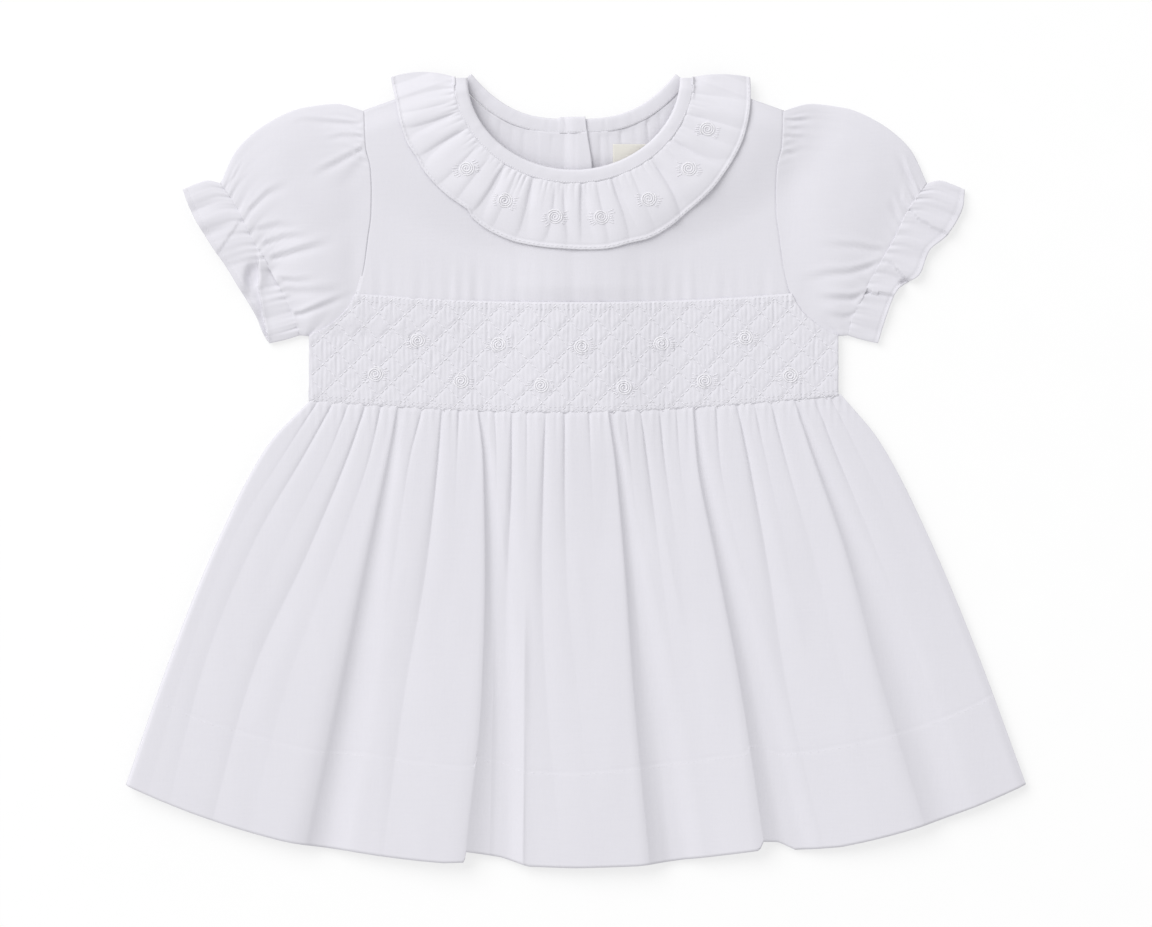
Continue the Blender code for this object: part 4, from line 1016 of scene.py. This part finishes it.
# ---- neck ----
def make_front_binding(material, thread):
    """Bias strip round the front of the neck, stitched along its foot."""
    u, v = unit_grid(*FRONT_BINDING_GRID)
    x, y = neck_point(mix(0.012, math.pi - 0.012, u), BINDING_WIDTH * (1 - v))
    # a flat strip: its foot lies on the frill, its inner edge rolls over to the back
    pucker = 0.10 * noise(u * 60, v * 1.5, 61) + 0.10 * noise(u * 25, v * 2, 62)
    z = WALL + FRONT_GAP + NECK_AIR + SEAM + 1.1 + interpolated(*FRONT_BINDING_PROFILE, v) + pucker
    z -= 1.7 * ramp(np.minimum(u, 1 - u), 0.05, 0)
    item = grid_object("neck_binding_cloth", x, y, z, material)
    threads = Threads()
    foot = neck_point(np.linspace(0.05, math.pi - 0.05, 420), BINDING_WIDTH - 0.75)
    threads.row(Surface(x, y, z), *foot, 1, BINDING_THREAD)
    stitches = threads.make("binding_stitches", thread)
    settle(item, "neck_binding_front", with_pieces=[stitches])


def make_back_binding(side, word, lap_edge, under, material, thread):
    """Bias strip round one half of the back of the neck; the upper half's end is turned under."""
    u, v = unit_grid(*BACK_BINDING_GRID)
    px = mix(CENTRE_X + side * (BACK_NECK_END - 1), lap_edge, u)
    slope = back_neck_y(px + 0.5) - back_neck_y(px - 0.5)
    length = np.hypot(1, slope)
    off = (BINDING_WIDTH + 0.3) * v
    x = px - off * slope / length
    y = back_neck_y(px) + off / length
    z = under(px, y) + 1.25 + interpolated(*BACK_BINDING_PROFILE, v)
    z += 0.10 * noise(u * 30, v * 1.5, 63 + side)
    z += 0.9 * ramp(u, 0.1, 0)
    if side < 0:
        # the turned end stands a little above the rest and its fold slants across the strip
        tab = ramp(x, -10, -8)
        y += tab * v
        x -= (LAP_RIGHT - lap_x(y)) * ramp(x, -2, LAP_RIGHT)
        slant = x + 4.6 + 0.30 * (y - BACK_NECK_LOW)
        z += 0.1 * tab + 0.3 * ramp(slant, 0.4, -0.4) * tab + 0.2 * ramp(px, LAP_LEFT - 12, LAP_LEFT)
    else:
        z += 0.8 * ramp(x, lap_x(y) + 26, lap_x(y) + 2)
    x, y, z = (values[:, ::-side] for values in (x, y, z))
    name = f"back_binding_{word}_cloth"
    item = grid_object(name, x, y, z, material)
    threads = Threads()
    threads.row(Surface(x, y, z), x[2], y[2], 1, BACK_BINDING_THREAD)
    settle(item, f"neck_binding_back_{word}", with_pieces=[threads.make(f"{name}_stitches", thread)])


def frill_height(uu, vv):
    """Height of the front collar frill above where it would lie flat."""
    arc = mix(FRILL_NECK_ARC, FRILL_EDGE_ARC, vv)
    shape = np.zeros_like(uu)
    for near, far, depth, bend in COLLAR_FOLDS:
        away = (uu - mix(near, far, vv) - bend * np.sin(math.pi * vv)) * arc
        reach = np.where(away < 0, mix(0.8, 2.1, vv), mix(1.6, 5, vv))
        shape -= depth * mix(0.25, 1, ramp(vv, 0, 0.28)) * np.exp(-(np.abs(away) / reach) ** 1.25)
    from_neck = vv * FRILL_DEPTH
    pleats = gathers(uu, COLLAR_PLEATS, 71, sharp=1) - 0.5
    drawn = 4 + 3 * noise(uu * 40, 0, 75)
    shape += 0.85 * pleats * np.exp(-from_neck / drawn) * ramp(from_neck, 0.3, 1.6)
    shape += 0.30 * noise(uu * 19, vv * 1.6, 72) * ramp(vv, 0, 0.5)
    shape += 0.15 * noise(uu * 55, vv * 3, 76) * ramp(vv, 1, 0.3)
    shape *= ramp(np.minimum(uu, 1 - uu), 0, 0.014)
    height = interpolated(*FRILL_PROFILE, vv) + shape
    for place, half, lift in FRILL_LOBES:
        height += lift * bell(uu - place, half) * ramp(vv, 0.35, 1)
    return 0.5 * (height + np.sqrt(height * height + 0.02))


def make_front_frill(material, thread):
    """Collar frill: gathered at the neck, falling in uneven folds to a narrow stitched hem."""
    uu, vv = unit_grid(*FRILL_GRID)
    angle = math.pi * uu
    inner_x, inner_y = neck_point(angle, BINDING_WIDTH - 0.4)
    reach = interpolated(*np.array(FRILL_REACHES).T, uu)
    x = mix(inner_x, CENTRE_X - FRILL_OUTER[0] * reach * np.cos(angle), vv)
    y = mix(inner_y, NECK_Y - FRILL_OUTER[1] * reach * np.sin(angle), vv)
    edge = np.minimum(uu, 1 - uu)
    y += np.where(uu < 0.5, *FRILL_TOP_BULGE) * np.sin(math.pi * vv) ** 0.8 * ramp(edge, 0.06, 0)
    beyond = np.where(np.abs(x - CENTRE_X) > NECK_INNER[0] + 8, np.maximum(0, y - shoulder_y(x)), 0)
    rest = front_base(x, np.minimum(y, SHOULDER_OUT + 17)) + WALL + 0.2
    level = np.maximum(NECK_LIFT + WALL, rest - 0.3 * beyond)
    from_edge = (1 - vv) * FRILL_DEPTH
    hem = 0.25 * ramp(from_edge, FRILL_HEM + 0.3, FRILL_HEM - 0.5)
    hem -= 0.20 * bell(from_edge - FRILL_HEM - 0.6, 0.5)
    at_ends = 1 - 0.75 * ramp(edge, 0.035, 0) * ramp(vv, 0.35, 0)
    z = level + (0.75 + frill_height(uu, vv)) * at_ends + hem
    item = grid_object("collar_frill_cloth", x[::-1], y[::-1], z[::-1], material)
    surface = Surface(x, y, z)
    buds = rosebuds("frill_rosebuds", surface, FRILL_ROSES, BUD_SIZES[1], 200, thread)
    edging = Threads()
    row = int(np.argmin(np.abs(from_edge[:, 0] - FRILL_HEM + 0.5)))
    edging.row(surface, x[row], y[row], 2, FRILL_THREAD)
    settle(item, "collar_frill_front",
           with_pieces=[buds, edging.make("frill_edge_stitches", thread)])


def make_back_frill(side, word, material):
    """The collar frill where it lies beneath one half of the back."""
    lap_edge = LAP_LEFT if side < 0 else LAP_RIGHT
    end_reach = abs(lap_edge - CENTRE_X + side * 5)
    u, v = unit_grid(*BACK_FRILL_GRID)
    angle = math.pi * mix(0.04, math.acos(end_reach / FRILL_OUTER[0]) / math.pi, u)
    inner_x = CENTRE_X + side * mix(BACK_NECK_END, end_reach, u)
    x = mix(inner_x, CENTRE_X + side * 0.965 * FRILL_OUTER[0] * np.cos(angle), v)
    y = mix(back_neck_y(inner_x) - 0.3, NECK_Y - FRILL_BACK_DEPTH * np.sin(angle), v)
    wave = 0.5 - 0.5 * np.cos(math.tau * 7 * u + 1.5 * noise(u * 7, v, 81))
    z = 0.8 * wave * v + 1.1
    x, y, z = (values[::-1, ::-side] for values in (x, y, z))
    settle(grid_object(f"back_frill_{word}_cloth", x, y, z, material, cloth=1), f"collar_frill_back_{word}")


def make_label(material):
    """Plain woven label inside the back of the neck."""
    u, v = unit_grid(*LABEL_GRID)
    x = LABEL_CENTRE[0] + (u - 0.5) * LABEL_SIZE[0]
    y = LABEL_CENTRE[1] + (v - 0.5) * LABEL_SIZE[1]
    z = waved(lower_lap(x, y) + WALL + SEAM + LABEL_LIFT, x, y, LABEL_WAVES)
    settle(grid_object("neck_label_cloth", x, y, z, material, cloth=0.5), "neck_label")


# ---- sleeves ----
def turned(table, side):
    return [(CENTRE_X + side * reach, y) for reach, y in table]


def patch(first, last, near, far, p, q):
    """Points of the surface patch between four edges: first and last run along q, the others along p."""
    p3, q3 = p[..., None], q[..., None]
    corners = (mix(np.array(first[0]), np.array(last[0]), p3) * (1 - q3)
               + mix(np.array(first[-1]), np.array(last[-1]), p3) * q3)
    plan = mix(along(first, q), along(last, q), p3) + mix(along(near, p), along(far, p), q3) - corners
    return plan[..., 0], plan[..., 1]


def tube_grid(p, columns):
    """Places along a flattened tube, turns round it, and places across it, closest on its folds."""
    turn = math.tau * np.linspace(0, 1, columns)
    return np.meshgrid(turn, p)[::-1] + [np.meshgrid(0.5 - 0.5 * np.cos(turn), p)[0]]


def tube_height(low, high, turn, power):
    """Upper side of a flattened tube in the first half of its turn, and its lower side after that."""
    middle = 0.5 * (low + high)
    share = np.abs(np.sin(turn)) ** power
    return np.where(turn < math.pi, mix(middle, high, share), mix(middle, low, share))


def cuff_gathers(q, side):
    """Small pleats along the elastic, shared by the sleeve and its frill."""
    wide, fine = CUFF_PLEATS
    return gathers(q, wide, 310 + side) + 0.35 * gathers(q, fine, 350 + side) - 0.65


def make_sleeve(side, node, material):
    """Puffed sleeve, gathered at the armhole's head and along the elastic."""
    armhole = [(CENTRE_X + side * (reach - SEAM_TUCK), y) for y, reach in ARMHOLE]
    top, foot, cuff = (turned(table, side) for table in (SLEEVE_TOP, UNDERARM, ELASTIC))
    top[0], foot[0] = armhole[0], armhole[-1]
    p, turn, q = tube_grid(steps(0, (0.08, 9), (0.75, 38), (1, 28)), 225)
    x, y = patch(armhole, cuff, top, foot, p, q)
    low = back_lift(x, y) * (1 - p)
    level = mix(front_base(x, y) + WALL + 0.1, SLEEVE_LEVEL, ramp(p, 0, 0.6))
    from_head, from_cuff = p * SLEEVE_REACH, (1 - p) * SLEEVE_REACH
    puff = SLEEVE_PUFF * ramp(np.sin(math.pi * p ** 0.9) * np.sin(math.pi * q) ** 0.7, -0.25, 0.95)
    puff = puff * ramp(np.minimum(from_head, from_cuff), -14, 38)
    at_head = gathers(q, HEAD_PLEATS, 300 + side, sharp=1) - 0.3
    relief = 1.1 * at_head * ramp(q, 0.30, 0.16) * np.exp(-from_head / 9) * ramp(from_head, 0, 1.5)
    relief += 1.2 * cuff_gathers(q, side) * (np.exp(-from_cuff / 5) + 0.4 * np.exp(-from_cuff / 16))
    relief -= 0.2 * bell(from_cuff, 2.2)
    relief += waved(0, x, y, SLEEVE_WAVES, side) * ramp(from_head, 0, 12)
    creased = sum(crease(x, y, *fold) for fold in SLEEVE_CREASES[side])
    relief += creased * ramp(from_cuff, -1, 10) * ramp(from_head, 0.4, 2)
    high = level + puff + relief * ramp(np.minimum(q, 1 - q), 0, 0.05)
    z = tube_height(low, high, turn, mix(0.05, 0.6, ramp(from_head, 2, 20)))
    settle(grid_object(f"{node}_cloth", x, y, z, material, tube=True, cloth=SLEEVE_CLOTH), node)


def make_sleeve_frill(side, node, edge_table, material, thread):
    """Frill below the elastic, in soft waves, with a narrow stitched hem."""
    cuff = turned([(reach - 0.9, y) for reach, y in ELASTIC], side)
    edge, top, foot = (turned(table, side) for table in (edge_table, FRILL_TOP_EDGE, FRILL_FOOT_EDGE))
    cuff[0], cuff[-1] = top[0], foot[0]
    edge[0], edge[-1] = top[-1], foot[-1]
    p, turn, q = tube_grid(np.linspace(0, 1, 36), 289)
    x, y = patch(cuff, edge, top, foot, p, q)
    waves = gathers(q, FRILL_WAVES, 340 + side, sharp=1.2) - 0.5
    from_cuff, from_edge = p * FRILL_REACH, (1 - p) * FRILL_REACH
    relief = 1.2 * cuff_gathers(q, side) * (0.7 * np.exp(-from_cuff / 4) + 0.7 * np.exp(-from_cuff / 12))
    relief += 1.8 * waves * ramp(p, 0, 0.9) - 0.15 * bell(from_cuff, 2.2)
    for fold in FRILL_LAPS[side]:
        relief += lap(x, y, *fold)
    above = FRILL_LEVEL + relief * ramp(np.minimum(q, 1 - q), 0, 0.05) - FRILL_LOWEST
    high = FRILL_LOWEST + 0.5 * (above + np.sqrt(above ** 2 + 0.5))
    for middle_x, middle_y, half_x, half_y, depth, slant in FRILL_HOLLOWS[side]:
        off_x = (x - middle_x - slant * (y - middle_y)) / half_x
        high = high - depth * np.exp(-(off_x ** 2 + ((y - middle_y) / half_y) ** 2) ** 1.6)
    high = np.maximum(high, 1) + 0.25 * bell(from_edge, 0.8) - 0.22 * bell(from_edge - SLEEVE_HEM, 0.6)
    z = tube_height(0, high, turn, 0.6)
    item = grid_object(f"{node}_cloth", x, y, z, material, tube=True, cloth=SLEEVE_CLOTH)
    threads = Threads()
    front = slice(5, 140)
    surface = Surface(x[:, front], y[:, front], z[:, front])
    row = int(np.argmin(np.abs(from_edge[:, 0] - SLEEVE_HEM)))
    for k in range(8, 134, 2):
        threads.stitch(surface, (x[row, k], y[row, k]), (x[row, k + 1], y[row, k + 1]), SLEEVE_THREAD, 0.05)
    settle(item, node, with_pieces=[threads.make(f"{node}_stitches", thread)])


# ---- stage ----
def make_stage():
    """Plain pale floor, soft light from the upper left, and the camera straight above."""
    scene = bpy.context.scene
    bpy.ops.mesh.primitive_plane_add(size=6, location=(0, 0, -0.0001))
    floor = bpy.context.object
    floor.name = "floor"
    paper = Nodes("floor_paper")
    floor.data.materials.append(paper.finish(
        paper.slubs(EVENLY, 40), FLOOR_GRAIN, (FLOOR_TONE,) * 3, Emission_Color=(1, 1, 1, 1),
        Emission_Strength=FLOOR_GLOW, Roughness=1, Specular_IOR_Level=0))

    scene.world = bpy.data.worlds.new("studio")
    scene.world.use_nodes = True
    sky = scene.world.node_tree.nodes["Background"].inputs
    sky["Color"].default_value = (1, 1, 1, 1)
    sky["Strength"].default_value = SKY

    light = bpy.data.lights.new("lamp", "POINT")
    light.energy = LAMP_POWER
    light.shadow_soft_size = LAMP_RADIUS
    turn, rise = math.radians(LAMP_FROM), math.radians(LAMP_ELEVATION)
    towards = Vector((math.cos(turn) * math.cos(rise), math.sin(turn) * math.cos(rise), math.sin(rise)))
    place_object("lamp", light).location = towards * LAMP_DISTANCE

    camera = bpy.data.cameras.new("camera")
    camera.sensor_width = SENSOR
    camera.lens = SENSOR * CAMERA_HEIGHT / (PICTURE[0] * PIXEL)
    camera.clip_end = 20
    scene.camera = place_object("camera", camera)
    scene.camera.location = (0, PICTURE_OFFSET * PIXEL * MM, CAMERA_HEIGHT * MM)
    scene.view_settings.view_transform = "Standard"
    scene.view_settings.look = "None"


def main():
    make_stage()
    white = woven_cotton("white_cotton", (0.735, 0.725, 0.775), slub_depth=0.00009)
    # the collar frill gets a lighter copy of the white cotton: painted light, standing in for the brighter
    # light the frill catches
    frill_lit_cotton = woven_cotton("frill_cotton_painted_light", (0.757, 0.747, 0.797), slub_depth=0.00006)
    smocked = woven_cotton("smocked_cotton", (0.74, 0.73, 0.78), slub_depth=0.00003)
    trim = woven_cotton("cotton_trim", (0.74, 0.73, 0.78), weave=0.0005, slub_depth=0.00003)
    thread = twisted_thread("embroidery_thread", (0.84, 0.83, 0.87))
    cream = woven_cotton("cream_label", (0.76, 0.74, 0.69), weave=0.0006)
    shell = pearly_shell("button_shell", (0.85, 0.84, 0.82))

    # The back's halves: side, word, lapped edge, and the surface each lies on.
    halves = ((-1, "left", LAP_RIGHT, upper_lap), (1, "right", LAP_LEFT, lower_lap))
    make_skirt(white, thread)
    make_yoke(white)
    make_band(smocked, thread)
    for half in halves:
        make_back_half(*half, white)
    make_front_binding(trim, thread)
    for half in halves:
        make_back_binding(*half, trim, thread)
    make_front_frill(frill_lit_cotton, thread)
    for side, word, _, _ in halves:
        make_back_frill(side, word, white)
    make_label(cream)
    for side, word, edge in ((-1, "left", FRILL_EDGE_LEFT), (1, "right", FRILL_EDGE_RIGHT)):
        make_sleeve(side, f"sleeve_{word}", white)
        make_sleeve_frill(side, f"sleeve_frill_{word}", edge, white, thread)
    for number in (1, 2, 3):
        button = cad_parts[f"back_button_{number}"]
        button.data.materials.clear()
        button.data.materials.append(shell)


main()
